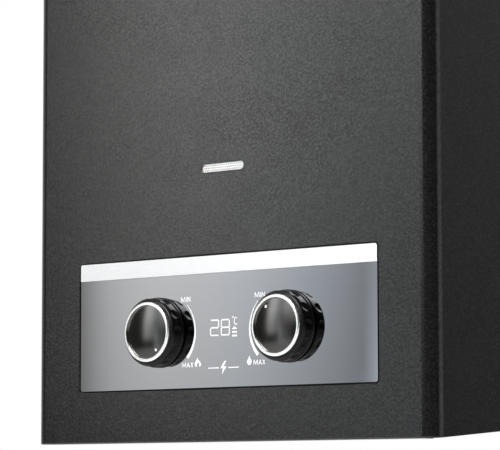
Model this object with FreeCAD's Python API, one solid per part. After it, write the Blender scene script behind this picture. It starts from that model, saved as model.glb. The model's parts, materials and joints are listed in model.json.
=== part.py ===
import FreeCAD, Part
import math
import os

from FreeCAD import Vector

# Wall-hung portable gas water heater, in millimetres. +X is right, +Y goes into the wall and +Z is up.
# The origin is the centre of the hanging hole, on the back plate's wall face, which is the plane y = 0.

# ---- Case ----
case_width = 292.0
case_height = 440.0
case_depth = 135.0
cover_sheet = 1.0          # thickness of the front cover
plate_sheet = 1.0          # thickness of the back, top and bottom plates
bend_radius = 8.2          # outside radius where the front turns into a side
side_rise = 0.076          # the sides' lower edges climb this much for each mm towards the wall
front_lip = 10.0           # return flange along the front's lower edge
hem_radius = 0.9           # rounding of the cover's outer lower edge
hem_steps = 4
seat_gap = 0.3             # clearance of a sheet that nests in another
side_flange = 20.0         # depth of the back plate's side flanges
skirt = 34.0               # the bottom plate lies this far above the case's lower edge
tray_flange = 12.0         # flange height of the top and bottom plates
rail_half = 60.0           # channels on the back plate that carry the exchanger
rail_height = 12.0
vent_columns = 7
vent_rows = 2
vent_first_x = -84.0
vent_first_y = -50.0
vent_pitch_x = 19.0
vent_pitch_y = 18.0
vent_length = 12.0
vent_width = 5.0
vent_margin = 6.0          # metal between a vent and the battery opening

# ---- Hanging and fixing ----
hanger_rise = 20.0         # hanging hole above the top of the case
hanger_tab_width = 60.0
hanger_tab_margin = 15.0   # metal above the hanging hole
hanger_hole_radius = 4.5
fixing_hole_radius = 3.0
fixing_spacing = 220.0
fixing_rise = 22.0         # fixing holes above the case's lower edge
back_plate_rise = 12.5     # lower edge of the back plate above the case's lower edge

# ---- Flame window ----
window_rise = 154.0
window_length = 31.6
window_height = 4.5
mesh_sheet = 0.5
mesh_margin = 5.0
mesh_pitch = 1.55
mesh_hole_radius = 0.5
mesh_corner = 2.0

# ---- Control panel ----
panel_width = 218.0
panel_height = 74.0
panel_rise = 30.4          # lower edge of the panel above the case's lower edge
panel_corner = 1.4
panel_gap = 0.7            # line between the panel and the cover's opening
opening_flare = 0.4        # the opening's front edge is bevelled by this much
panel_recess = 0.2         # glass face behind the front of the case
glass_thickness = 3.0
strip_height = 9.8         # bright trim strip along the top of the panel
strip_step = 0.2           # the strip stands this much proud of the glass
strip_gap = 0.15
carrier_thickness = 3.0
carrier_margin = 8.0       # the carrier reaches this far past the opening
carrier_corner = 6.0
shaft_hole_gap = 2.0       # round a knob's shaft in the glass, and round a valve's nose in the carrier
display_gap = 1.0
stud_end = 2.0             # stud beyond its nut
stud_radius = 1.5
stud_inset = 4.0
nut_height = 2.4
nut_flats = 5.5
board_width = 64.0
board_height = 45.0
board_thickness = 1.6
board_gap = 7.5            # posts between the carrier and the board
post_radius = 2.5
post_margin = 1.0          # board between a post and its upper or lower edge
board_corner = 2.0
display_width = 36.0
display_height = 22.0
chip_half = 7.0
chip_height = 1.6
plug_low_corner = (14.0, -14.0)
plug_size = (12.0, 8.0)
plug_height = 4.0
capacitor_place = (-20.0, 10.0)
capacitor_radius = 2.5
capacitor_height = 5.0
solder_lap = 0.2           # parts on the board sink this far into it

# ---- Knobs ----
knob_spacing = 94.7
knob_rise = 62.5
knob_radius = 20.0
barrel_radius = 19.5
shoulder_radius = 17.5
knob_reach = 11.3          # front of the ring before the front of the case
knob_standoff = 0.5        # back of the knob before the glass
base_rim = 1.4
base_slope = 0.5
knob_edge = 0.4
shoulder_length = 2.6
shoulder_steps = 6
ring_outer = 17.07
ring_inner = 15.25
ring_depth = 2.0
ring_bevel = 0.35
face_gap = 0.05
face_edge_recess = 1.2
face_crown = 1.2
dimple_count = 12
dimple_radius = 6.5
dimple_depth = 0.95
dimple_place = 5.7         # middle of the dimples before the back of the knob
knob_wall = 2.2
hub_radius = 7.0
spindle_radius = 3.0
spindle_gap = 0.05
spindle_end_gap = 0.5
spindle_flat = 2.1         # the flat's height above the spindle's axis
spindle_in_valve = 12.0
spindle_in_knob = 7.0

# ---- Gas valve ----
valve_front = 23.0         # front of both valve bodies behind the front of the case
valve_depth = 50.0
valve_rise = 42.0
gas_valve_width = 50.0
gas_valve_height = 46.0
valve_corner = 4.0
boss_radius = 10.0
boss_length = 4.0
solenoid_shift = 5.0       # the solenoid's axis before the gas inlet's
solenoid_lift = 2.5        # the solenoid's axis above the knobs'
solenoid_rim = 2.0
solenoid_rim_length = 4.0
solenoid_end = 4.0         # closed end of the solenoid
solenoid_radius = 11.0
solenoid_length = 30.0
plunger_radius = 4.0
plunger_gap = 0.05
plunger_stroke = 3.0
plunger_end_gap = 1.0      # left behind the plunger at the end of its stroke
plunger_reach = 8.0        # plunger inside the valve body
seat_radius = 7.0
seat_thickness = 2.5
seat_chamber_gap = 1.5
seat_chamber_depth = 12.0
passage_radius = 4.0
passage_depth = 12.0
riser_radius = 8.0
riser_back = 35.0          # gas outlet behind the front of the case
riser_stop = 8.0           # top of the gas outlet below the burner frame

# ---- Water valve ----
cold_run = 28.2            # from the valve's right side to the coil
water_valve_left = 30.0
water_axis_depth = 30.0    # the diaphragm's axis behind the valves' front faces
water_valve_height = 43.0
diaphragm_radius = 26.0
diaphragm_thickness = 1.5
body_flange = 10.5
cover_depth = 10.0
cover_wall = 2.0
guide_wall = 2.5
guide_length = 3.0
chamber_radius = 20.0
chamber_depth = 6.0
flange_lap = 2.0
clamp_hole_depth = 8.0
rod_radius = 2.0
rod_gap = 0.05
rod_reach = 8.0            # rod end beyond the diaphragm cover
rod_stroke = 4.0
push_plate_radius = 14.0
push_plate_thickness = 1.5
outlet_boss_radius = 9.0
outlet_boss_length = 8.0
outlet_passage = 14.0      # water passage inside the valve body
clamp_screw_circle = 23.2

# ---- Microswitch ----
switch_width = 10.5        # along the push rod
switch_length = 20.0
switch_thickness = 6.4
lever_thickness = 0.8
lever_drop = 16.0          # push rod above the lever's pin
lever_pin_radius = 0.75
lever_pin_gap = 0.05
lever_eye_radius = 1.8
lever_tip = 3.0            # lever beyond the push rod's axis
lever_side_gap = 0.2
switch_ear = 1.2
switch_ear_reach = 1.6
switch_pin_rise = 4.0      # the lever's pin above the switch's lower end
switch_bracket = 6.0
switch_gap = 1.0

# ---- Pipe connections: G1/2 male ----
thread_radius = 10.48
stub_bore = 7.0
stub_end_rise = 4.0        # open end above the case's lower edge
collar_radius = 13.0
locknut_height = 6.0
locknut_flats = 27.0
locknut_gap = 0.1
runout = 1.5
runout_radius = 9.6
end_chamfer = 1.0
stub_hole_gap = 0.5
filter_rise = 4.0          # the filter above the stub's open end
filter_length = 16.0
filter_gap = 0.1
filter_wall = 1.0
gas_stub_y = -80.0
cold_stub_x = 56.0
cold_stub_y = -78.0
hot_stub_inset = 24.0      # from the inside of the case's left side
hot_stub_y = -30.0

# ---- Drain tap ----
drain_x = 38.0
drain_y = -103.0
drain_radius = 6.0
drain_end_rise = 22.0
drain_pin_radius = 2.0
drain_pin_gap = 0.05
drain_lever_length = 18.0
drain_lever_thickness = 6.0
drain_arm_half = 3.0
drain_arm_corner = 2.5
drain_arm_thickness = 3.0
drain_head_rim = 1.2
drain_head = 1.0
drain_end_play = 1.5
drain_hole_gap = 1.0

# ---- Burner ----
burner_count = 8
burner_margin = 12.0       # both ends of the burner frame together
burner_bar_width = 12.0
burner_top = 148.0
burner_blade = 16.0
burner_tube_radius = 7.5
burner_bore_radius = 6.0
burner_axis = 118.0
port_count = 10
port_width = 1.2
port_depth = 5.0
port_margin = 1.5
bar_gap = 0.2
bar_web = 4.0
bar_blind = 20.0           # closed end of a burner tube
frame_sheet = 1.0
frame_bottom = 106.0
frame_inset = 2.0          # the burner frame's sides inside the exchanger's
frame_ends = 4.0           # the burner frame's front and back inside the exchanger's
manifold_size = 12.0
manifold_gap = 2.0         # manifold before the burner frame
manifold_end = 10.0        # manifold beyond its last jet
manifold_round = 1.5
manifold_foot = 7.0
manifold_foot_margin = 2.0
jet_hole_depth = 6.0
jet_stem_radius = 1.8
jet_stem = 5.0
jet_radius = 3.0
jet_bore = 0.5

# ---- Heat exchanger ----
side_bay = 52.0            # between the exchanger and the inside of the case's sides
shell_front = -116.0
shell_back = -16.0
shell_bottom = 150.0
shell_top = 330.0
shell_sheet = 1.0
tube_radius = 6.0
tube_wall = 1.0
tube_gap = 0.2
tube_hole_gap = 0.1
coil_turns = 2
coil_start = 180.0
coil_pitch = 40.0
coil_lead = 20.0           # upright run below the coil's first turn
shell_corner = 8.0
pipe_bend = 12.0
fin_row = 305.0
fin_height = 34.0
fin_sheet = 0.5
fin_count = 26
fin_margin = 7.0           # from the shell's side to its first fin
pass_count = 4
pass_pitch = 24.0
pass_overhang = 14.0       # the passes' bends outside the shell
pass_drop = 20.0
sight_margin = 4.0         # sight hole beyond the flame window's ends
sight_below = 3.0
sight_above = 7.0
sight_corner = 2.0

# ---- Flue ----
hood_top = 400.0
neck_half_x = 74.0
neck_half_y = 29.0
neck_rise = 6.0            # neck above the top of the case
neck_gap = 1.0
flue_y = -66.0
cap_half_x = 94.0
cap_half_y = 41.0
cap_height = 42.0
cap_corner = 8.0
cap_foot = 12.0
cap_foot_corner = 4.0
cap_foot_inset = 10.0      # from the cap's front and back to its feet
cap_bevel = 0.8
cap_slot_rise = 9.0        # first row above the top plate
cap_slot_gap = 8.0
cap_rows = 3
cap_columns = 4
cap_slot_height = 5.0
cap_slot_length = 34.0
cap_slot_pitch = 11.0

# ---- Carry handle ----
handle_radius = 4.0
handle_reach = 98.0
handle_y = -24.0
handle_bend_gap = 2.2      # straight rod between a bracket and the bend
handle_end = 14.0          # the rod's ends turn inward through the brackets
handle_gap = 0.08
grip_radius = 9.0
grip_length = 120.0
grip_rest = 0.3
grip_round = 2.5
groove_count = 10
groove_pitch = 10.0
groove_width = 2.0
groove_depth = 0.6
bracket_gap = 0.4          # between a bracket's foot and the flue cap
bracket_corner = 7.5
bracket_width = 16.0
bracket_sheet = 2.5
clip_radius = 6.0
clip_thickness = 1.6
clip_inset = 0.5           # clip from the rod's end

# ---- Electrical pieces ----
cell_radius = 16.6
cell_length = 59.0
cell_pitch = 34.5
cell_gap = 0.5
cell_lift = 0.5
cell_end_room = 2.0
cell_base_step = 3.0
can_inset = 1.2
pole_radius = 4.7
pole_height = 2.0
battery_wall = 1.5
battery_corner = 3.0
battery_inset = 6.0        # from the inside of the case's right side
battery_back = -14.0
box_flange = 5.0
box_flange_right = 3.0
contact_sheet = 0.5
contact_half = 6.0
contact_bump = 4.0
contact_rise = 1.5
lid_thickness = 2.0
lid_gap = 0.5
lid_overlap = 1.0          # the lid reaches this far past the box towards its hinge
lid_left = 4.0
lid_right = 2.0
lid_front = 6.0
catch_half = 8.0
catch_reach = 9.0
catch_corner = 2.0
barrel_inset = 8.0
web_drop = 0.6
ear_inset = 4.0
ear_width = 3.0
hinge_radius = 2.5
hinge_pin_radius = 1.2
hinge_pin_gap = 0.05
igniter_size = (22.0, 54.0, 40.0)
igniter_inset = 3.0        # from the inside of the case's left side
igniter_front = -112.0
igniter_round = 3.0
tower_radius = 4.0
tower_height = 6.0
tower_inset = 12.0
electrode_x = 40.0
electrode_rise = 158.0
electrode_radius = 3.0
electrode_wire = 1.0
electrode_half = 8.0       # ceramic on each side of the shell's wall
electrode_tip = 16.0       # the bent tip behind the shell's wall
electrode_bend = 3.0
spark_gap = 3.0
overheat_rise = 230.0
overheat_radius = 7.5
overheat_reach = 9.0
overheat_clip = 1.6
overheat_clip_height = 12.0
wire_radius = 1.2
wire_bend = 3.5
wire_slack = 30.0          # the lead leaves the upright this far below the electrode
wire_stand_off = 12.0      # lead before the exchanger

# ---- Screws ----
screw_radius = 2.0
screw_hole_gap = 0.2
screw_head_radius = 3.8
screw_head = 2.2
screw_head_round = 1.2
recess_length = 3.8
recess_width = 1.0
recess_depth = 1.1
screw_length = 8.0
cover_screw_rises = (60.0, 390.0)
cover_screw_inset = 11.0

# ---- Places worked out from the sizes above ----
case_top = -hanger_rise
case_bottom = case_top - case_height
front = -case_depth
inside_front = front + cover_sheet
inside_half = case_width / 2 - cover_sheet
wall_side = -plate_sheet
shell_half = inside_half - side_bay
frame_half = shell_half - frame_inset
burner_pitch = (2 * frame_half - burner_margin) / burner_count
fin_pitch = 2 * (shell_half - fin_margin) / (fin_count - 1)
pass_reach = shell_half + pass_overhang
coil_x = shell_half + tube_radius + tube_gap
water_valve_right = coil_x - cold_run
hot_stub_x = -inside_half + hot_stub_inset
battery_right = inside_half - battery_inset
igniter_left = -inside_half + igniter_inset
tray_half = inside_half - seat_gap - plate_sheet - seat_gap
glass_face = front + panel_recess
glass_back = glass_face + glass_thickness
carrier_back = glass_back + carrier_thickness
board_face = carrier_back + board_gap
knob_x = knob_spacing / 2
valve_face = front + valve_front
valve_back = valve_face + valve_depth


def up(rise):
    """Height in the part's frame of a place that many mm above the case's lower front edge."""
    return case_bottom + rise


knob_z = up(knob_rise)
plate_z = up(skirt)
plate_top = plate_z + plate_sheet


# ---- Ways to make a solid ----
def block(x0, x1, y0, y1, z0, z1):
    return Part.makeBox(x1 - x0, y1 - y0, z1 - z0, Vector(x0, y0, z0))


def rod(radius, start, end):
    """Cylinder from one point to another."""
    along = Vector(*end) - Vector(*start)
    return Part.makeCylinder(radius, along.Length, Vector(*start), along)


def sleeve(outer, inner, start, end):
    """Round tube from one point to another."""
    return rod(outer, start, end).cut(rod(inner, start, end))


def fuse(shapes):
    whole = shapes[0]
    for shape in shapes[1:]:
        whole = whole.fuse(shape)
    return whole.removeSplitter()


def cut(shape, tools):
    """The shape with every tool taken away."""
    for tool in tools:
        shape = shape.cut(tool)
    return shape


def moved(shape, x, y, z):
    copy = shape.copy()
    copy.translate(Vector(x, y, z))
    return copy


def mirrored(shape):
    """The shape's twin on the other side of the plane x = 0."""
    return shape.mirror(Vector(0, 0, 0), Vector(1, 0, 0))


def outline(u0, u1, v0, v1, corner, place):
    """Closed rectangle with round corners; place turns (u, v) into a point."""
    centres = [(u1 - corner, v1 - corner), (u0 + corner, v1 - corner)]
    centres += [(u0 + corner, v0 + corner), (u1 - corner, v0 + corner)]
    edges = []
    for quarter, (u, v) in enumerate(centres):
        turn = [math.radians(90 * quarter + step) for step in (0, 45, 90)]
        points = [place(u + corner * math.cos(a), v + corner * math.sin(a)) for a in turn]
        if edges and edges[-1].Vertexes[-1].Point.distanceToPoint(points[0]) > 1e-6:
            edges.append(Part.LineSegment(edges[-1].Vertexes[-1].Point, points[0]).toShape())
        edges.append(Part.Arc(*points).toShape())
    first = edges[0].Vertexes[0].Point
    last = edges[-1].Vertexes[-1].Point
    if last.distanceToPoint(first) > 1e-6:
        edges.append(Part.LineSegment(last, first).toShape())
    return Part.Wire(edges)


def upright_plate(x0, x1, z0, z1, corner, y0, y1):
    """Plate that faces the front, with round corners."""
    wire = outline(x0, x1, z0, z1, corner, lambda u, v: Vector(u, y0, v))
    return Part.Face(wire).extrude(Vector(0, y1 - y0, 0))


def level_plate(x0, x1, y0, y1, corner, z0, z1):
    """Plate that faces up, with round corners seen from above."""
    wire = outline(x0, x1, y0, y1, corner, lambda u, v: Vector(u, v, z0))
    return Part.Face(wire).extrude(Vector(0, 0, z1 - z0))


def side_plate(y0, y1, z0, z1, corner, x0, x1):
    """Plate that faces the side, with round corners."""
    wire = outline(y0, y1, z0, z1, corner, lambda u, v: Vector(x0, u, v))
    return Part.Face(wire).extrude(Vector(x1 - x0, 0, 0))


def prism(points, along):
    """Straight-sided solid from a closed list of points."""
    wire = Part.makePolygon([Vector(*p) for p in points + points[:1]])
    return Part.Face(wire).extrude(Vector(*along))


def turned(profile, x, y, z):
    """Solid turned about an axis along Y; the profile holds (radius, distance towards the front)."""
    face = Part.Face(Part.makePolygon([Vector(r, -a, 0) for r, a in profile + profile[:1]]))
    return moved(face.revolve(Vector(0, 0, 0), Vector(0, 1, 0), 360), x, y, z)


def route(points, bend):
    """Wire of straight runs joined by arcs that touch both runs."""
    points = [Vector(*p) for p in points]
    edges = []
    start = points[0]
    for before, corner, after in zip(points, points[1:], points[2:]):
        back = (before - corner).normalize()
        ahead = (after - corner).normalize()
        half = back.getAngle(ahead) / 2
        reach = bend / math.tan(half)
        middle = corner + (back + ahead).normalize() * (bend / math.sin(half) - bend)
        first = corner + back * reach
        last = corner + ahead * reach
        if start.distanceToPoint(first) > 1e-6:
            edges.append(Part.LineSegment(start, first).toShape())
        edges.append(Part.Arc(first, middle, last).toShape())
        start = last
    edges.append(Part.LineSegment(start, points[-1]).toShape())
    return Part.Wire(edges)


def bent_rod(points, radius, bend):
    """Round bar along a route."""
    spine = route(points, bend)
    start = Vector(*points[0])
    ring = Part.Wire(Part.makeCircle(radius, start, Vector(*points[1]) - start))
    return spine.makePipeShell([ring], True, True)


def bent_tube(points, radius, wall, bend):
    """Round pipe along a route."""
    return bent_rod(points, radius, bend).cut(bent_rod(points, radius - wall, bend))


def hexagon(flats, x, y, z0, z1, turn=0.0):
    """Upright six-sided bar."""
    reach = flats / math.sqrt(3)
    angles = [math.radians(60 * k + turn) for k in range(6)]
    points = [(x + reach * math.cos(a), y + reach * math.sin(a), z0) for a in angles]
    return prism(points, (0, 0, z1 - z0))


# ---- Case ----
def stud_places():
    """Centres of the four studs that hold the panel carrier."""
    reach = panel_width / 2 + panel_gap + stud_inset
    low = up(panel_rise) - panel_gap - stud_inset
    high = up(panel_rise + panel_height) + panel_gap + stud_inset
    return [(x, z) for x in (-reach, reach) for z in (low, high)]


def panel_opening():
    """Tool that cuts the panel's opening, with a bevel along its front edge."""

    def rim(wider, y):
        reach = panel_width / 2 + panel_gap + wider
        low = up(panel_rise) - panel_gap - wider
        high = up(panel_rise + panel_height) + panel_gap + wider
        return outline(-reach, reach, low, high, panel_corner + panel_gap + wider, lambda u, v: Vector(u, y, v))

    straight = Part.Face(rim(0, front - 1)).extrude(Vector(0, 1.5 + cover_sheet, 0))
    bevel = Part.makeLoft([rim(2 * opening_flare, front - opening_flare), rim(0, front + opening_flare)], True, True)
    return straight.fuse(bevel)


def lower_edge_rounding():
    """Tools that round the cover's outer lower edge, along the front and round both bends."""
    middle = case_width / 2 - bend_radius
    turns = [math.radians(90 * k / hem_steps) for k in range(hem_steps + 1)]
    rounded = [(front + hem_radius * (1 - math.sin(a)), up(hem_radius * (1 - math.cos(a)))) for a in turns]
    beyond = [(front - 1, up(hem_radius)), (front - 1, up(-1)), (front + hem_radius, up(-1))]
    points = [Vector(middle, y, z) for y, z in rounded + beyond]
    profile = Part.Face(Part.makePolygon(points + points[:1]))
    along = profile.extrude(Vector(-2 * middle, 0, 0))
    bend = profile.revolve(Vector(middle, front + bend_radius, case_bottom), Vector(0, 0, 1), 90)
    return [along, bend, mirrored(bend)]


def make_front_cover():
    half = case_width / 2
    middle = half - bend_radius

    def bend(radius, sign):
        """Three points round one bent corner, from the side to the front."""
        centre = Vector(sign * middle, front + bend_radius, case_bottom)
        angles = [math.radians(a) for a in (0, 45, 90)]
        return [centre + Vector(sign * math.cos(a), -math.sin(a), 0) * radius for a in angles]

    outer_right = bend(bend_radius, 1)
    outer_left = bend(bend_radius, -1)
    inner_right = bend(bend_radius - cover_sheet, 1)
    inner_left = bend(bend_radius - cover_sheet, -1)
    back = -seat_gap
    ends = [Vector(x, back, case_bottom) for x in (half, -half, -inside_half, inside_half)]
    edges = [
        Part.LineSegment(ends[0], outer_right[0]),
        Part.Arc(*outer_right),
        Part.LineSegment(outer_right[2], outer_left[2]),
        Part.Arc(*outer_left),
        Part.LineSegment(outer_left[0], ends[1]),
        Part.LineSegment(ends[1], ends[2]),
        Part.LineSegment(ends[2], inner_left[0]),
        Part.Arc(*inner_left),
        Part.LineSegment(inner_left[2], inner_right[2]),
        Part.Arc(*inner_right),
        Part.LineSegment(inner_right[0], ends[3]),
        Part.LineSegment(ends[3], ends[0]),
    ]
    wire = Part.Wire(Part.__sortEdges__([edge.toShape() for edge in edges]))
    wrap = Part.Face(wire).extrude(Vector(0, 0, case_height))
    in_sheet = front + cover_sheet / 2
    lip = block(-middle, middle, in_sheet, front + front_lip, case_bottom, case_bottom + cover_sheet)
    stud_tip = carrier_back + nut_height + stud_end
    studs = [rod(stud_radius, (x, in_sheet, z), (x, stud_tip, z)) for x, z in stud_places()]
    whole = fuse([wrap, lip] + studs)
    opening = panel_opening()
    window = upright_plate(
        -window_length / 2, window_length / 2,
        up(window_rise) - window_height / 2, up(window_rise) + window_height / 2,
        window_height / 2, front - 1, inside_front + 0.5,
    )
    rise_start = front + cover_sheet
    rise_at_wall = -rise_start * side_rise
    tools = [opening, window] + lower_edge_rounding()
    for sign in (-1, 1):
        x = sign * middle
        wedge = [
            (x, rise_start, case_bottom - 1), (x, 1, case_bottom - 1),
            (x, 1, case_bottom + rise_at_wall), (x, rise_start, case_bottom),
        ]
        tools.append(prism(wedge, (sign * (bend_radius + 1), 0, 0)))
        for rise in cover_screw_rises:
            ends = [(sign * reach, -cover_screw_inset, up(rise)) for reach in (inside_half - 1, half + 1)]
            tools.append(rod(screw_radius + screw_hole_gap, *ends))
    return cut(whole, tools)


def make_back_plate():
    reach = inside_half - seat_gap
    low = up(back_plate_rise)
    plate = block(-reach, reach, wall_side, 0, low, case_top - seat_gap)
    tab = upright_plate(
        -hanger_tab_width / 2, hanger_tab_width / 2, case_top - 2 * hanger_tab_margin, hanger_tab_margin,
        hanger_tab_margin / 2, wall_side, 0,
    )
    flange = block(reach - plate_sheet, reach, -side_flange, wall_side / 2, plate_z, case_top - seat_gap)
    pieces = [plate, tab, flange, mirrored(flange)]
    rail_rises = [coil_start + coil_pitch * (turn + 0.5) for turn in range(coil_turns)]
    for rise in rail_rises:
        low_edge = up(rise) - rail_height / 2
        high_edge = up(rise) + rail_height / 2
        rail = block(-rail_half, rail_half, shell_back, wall_side / 2, low_edge, high_edge)
        hollow = block(
            -rail_half - 1, rail_half + 1, shell_back + plate_sheet, wall_side,
            low_edge + plate_sheet, high_edge - plate_sheet,
        )
        pieces.append(rail.cut(hollow))
    whole = fuse(pieces)
    tools = [rod(hanger_hole_radius, (0, wall_side - 1, 0), (0, 1, 0))]
    for sign in (-1, 1):
        x = sign * fixing_spacing / 2
        tools.append(rod(fixing_hole_radius, (x, wall_side - 1, up(fixing_rise)), (x, 1, up(fixing_rise))))
        for rise in cover_screw_rises:
            ends = [(sign * x, -cover_screw_inset, up(rise)) for x in (reach - plate_sheet - 1, reach + 1)]
            tools.append(rod(screw_radius, *ends))
    return cut(whole, tools)


def tray(z_plate, z_flange):
    """Level sheet with flanges at its front and sides; its back edge meets the back plate."""
    face = inside_front + seat_gap
    corner = bend_radius - cover_sheet
    low, high = sorted((z_plate, z_flange))
    whole = level_plate(-tray_half, tray_half, face, wall_side, corner, low, high)
    inner_low = low + plate_sheet if z_flange > z_plate else low - 1
    inner_high = high + 1 if z_flange > z_plate else high - plate_sheet
    inner = level_plate(
        -tray_half + plate_sheet, tray_half - plate_sheet, face + plate_sheet, corner, corner - plate_sheet,
        inner_low, inner_high,
    )
    return whole.cut(inner)


def cap_foot_places():
    """Centres of the four screws that hold the flue cap."""
    x = cap_half_x + cap_foot / 2
    return [(sign * x, flue_y + dy) for sign in (-1, 1) for dy in (-cap_half_y / 2, cap_half_y / 2)]


def make_top_plate():
    plate = tray(case_top, case_top - tray_flange)
    opening = level_plate(
        -neck_half_x - neck_gap, neck_half_x + neck_gap, flue_y - neck_half_y - neck_gap,
        flue_y + neck_half_y + neck_gap, neck_gap, case_top - 3, case_top + 1,
    )
    holes = [
        rod(screw_radius, (x, y, case_top - 3), (x, y, case_top + 1))
        for x, y in cap_foot_places() + bracket_screw_places()
    ]
    return cut(plate, [opening] + holes)


def battery_bay():
    """Low and high corner of the battery box in plan: x0, x1, y0, y1."""
    depth = 2 * (cell_radius + cell_gap + battery_wall)
    width = cell_pitch + depth
    return battery_right - width, battery_right, battery_back - depth, battery_back


def make_bottom_plate():
    plate = tray(plate_z, plate_z + tray_flange)
    x0, x1, y0, y1 = battery_bay()
    notch = panel_width / 2 + panel_gap + carrier_margin + seat_gap
    tools = [block(-notch, notch, front, carrier_back + seat_gap, plate_z - 1, plate_z + tray_flange + 1)]
    tools.append(block(
        x0 + battery_wall, x1 - battery_wall, y0 + battery_wall, y1 - battery_wall,
        plate_z - 1, plate_top + 1,
    ))
    for x, y in stub_places():
        tools.append(rod(thread_radius + stub_hole_gap, (x, y, plate_z - 1), (x, y, plate_top + 1)))
    drain_hole = drain_radius + drain_hole_gap
    tools.append(rod(drain_hole, (drain_x, drain_y, plate_z - 1), (drain_x, drain_y, plate_top + 1)))
    for column in range(vent_columns):
        for row in range(vent_rows):
            x = vent_first_x + column * vent_pitch_x
            y = vent_first_y + row * vent_pitch_y
            if x + vent_length / 2 + vent_margin < x0:
                tools.append(level_plate(
                    x - vent_length / 2, x + vent_length / 2, y - vent_width / 2, y + vent_width / 2,
                    vent_width / 2, plate_z - 1, plate_top + 1,
                ))
    return cut(plate, tools)


def make_flue_cap():
    low = case_top
    high = case_top + cap_height
    y0 = flue_y - cap_half_y
    y1 = flue_y + cap_half_y
    outer = level_plate(-cap_half_x, cap_half_x, y0, y1, cap_corner, low, high)
    inner = level_plate(
        -cap_half_x + plate_sheet, cap_half_x - plate_sheet, y0 + plate_sheet, y1 - plate_sheet,
        cap_corner - plate_sheet, low - 1, high - plate_sheet,
    )
    foot = level_plate(
        cap_half_x - plate_sheet, cap_half_x + cap_foot, y0 + cap_foot_inset, y1 - cap_foot_inset,
        cap_foot_corner, low, low + plate_sheet,
    )
    root = block(
        cap_half_x - plate_sheet, cap_half_x + cap_foot_corner, y0 + cap_foot_inset, y1 - cap_foot_inset,
        low, low + plate_sheet,
    )
    foot = foot.fuse(root)
    shell = fuse([outer, foot, mirrored(foot)]).cut(inner)
    tools = [cap_edge(y0, y1, high)]
    half_long = cap_slot_length / 2
    half_high = cap_slot_height / 2
    for row in range(cap_rows):
        z = low + cap_slot_rise + row * cap_slot_pitch
        for column in range(cap_columns):
            x = (column - (cap_columns - 1) / 2) * (cap_slot_length + cap_slot_gap)
            tools.append(upright_plate(
                x - half_long, x + half_long, z - half_high, z + half_high, half_high, y0 - 2, y1 + 2,
            ))
        tools.append(side_plate(
            flue_y - half_long, flue_y + half_long, z - half_high, z + half_high, half_high,
            -cap_half_x - 2, cap_half_x + 2,
        ))
    for x, y in cap_foot_places():
        tools.append(rod(screw_radius + screw_hole_gap, (x, y, low - 1), (x, y, low + 3)))
    return cut(shell, tools)


def cap_edge(y0, y1, high):
    """What the cap's sloping top edge takes off a square one."""
    low = high - cap_bevel
    around = level_plate(-cap_half_x - 1, cap_half_x + 1, y0 - 1, y1 + 1, cap_corner + 1, low, high)
    low_wire = outline(-cap_half_x, cap_half_x, y0, y1, cap_corner, lambda u, v: Vector(u, v, low))
    high_wire = outline(
        -cap_half_x + cap_bevel, cap_half_x - cap_bevel, y0 + cap_bevel, y1 - cap_bevel,
        cap_corner - cap_bevel, lambda u, v: Vector(u, v, high),
    )
    return around.cut(Part.makeLoft([low_wire, high_wire], True, True))


def screw_at(x, y, z, toward):
    """Pan-head screw; its head rests at the point and its shank goes the way that toward points."""
    way = Vector(*toward).normalize()
    seat = Vector(x, y, z)
    head = Part.makeCylinder(screw_head_radius, screw_head, seat - way * screw_head, way)
    rim = [edge for edge in head.Edges if abs((edge.BoundBox.Center - seat).dot(way) + screw_head) < 1e-3]
    head = head.makeFillet(screw_head_round, [edge for edge in rim if edge.Length > screw_head_radius])
    slot_across = way.cross(Vector(0, 1, 0)) if abs(way.y) < 0.5 else Vector(1, 0, 0)
    slot_across.normalize()
    cross_ways = (slot_across, way.cross(slot_across))
    recess = []
    for across in cross_ways:
        length = across * recess_length
        width = way.cross(across) * recess_width
        start = seat - way * (screw_head + 1) - length / 2 - width / 2
        corners = [start, start + length, start + length + width, start + width, start]
        recess.append(Part.Face(Part.makePolygon(corners)).extrude(way * (recess_depth + 1)))
    shank = Part.makeCylinder(screw_radius - face_gap, screw_length, seat, way)
    return cut(head, recess).fuse(shank)


def make_m4_screws():
    """Every M4 screw: four each in the cover, flue cap and diaphragm, two in the handle's brackets."""
    screws = []
    for sign in (-1, 1):
        for rise in cover_screw_rises:
            screws.append(screw_at(sign * case_width / 2, -cover_screw_inset, up(rise), (-sign, 0, 0)))
    for x, y in cap_foot_places():
        screws.append(screw_at(x, y, case_top + plate_sheet, (0, 0, -1)))
    for x, y in bracket_screw_places():
        screws.append(screw_at(x, y, case_top + bracket_sheet, (0, 0, -1)))
    for y, z in clamp_screw_places():
        screws.append(screw_at(diaphragm_cover_face, y, z, (1, 0, 0)))
    return Part.makeCompound(screws)


# ---- Carry handle ----
handle_z = case_top + grip_radius + grip_rest
bracket_face = cap_half_x + bracket_gap + bracket_width
handle_near = bracket_face - seat_gap - clip_thickness - clip_inset
handle_half = handle_near + handle_end
handle_bend = handle_end - clip_inset - clip_thickness - seat_gap - bracket_sheet - handle_bend_gap


def bracket_screw_places():
    """One screw through the foot of each handle bracket."""
    x = bracket_face - bracket_width / 2
    return [(-x, handle_y), (x, handle_y)]


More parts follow.
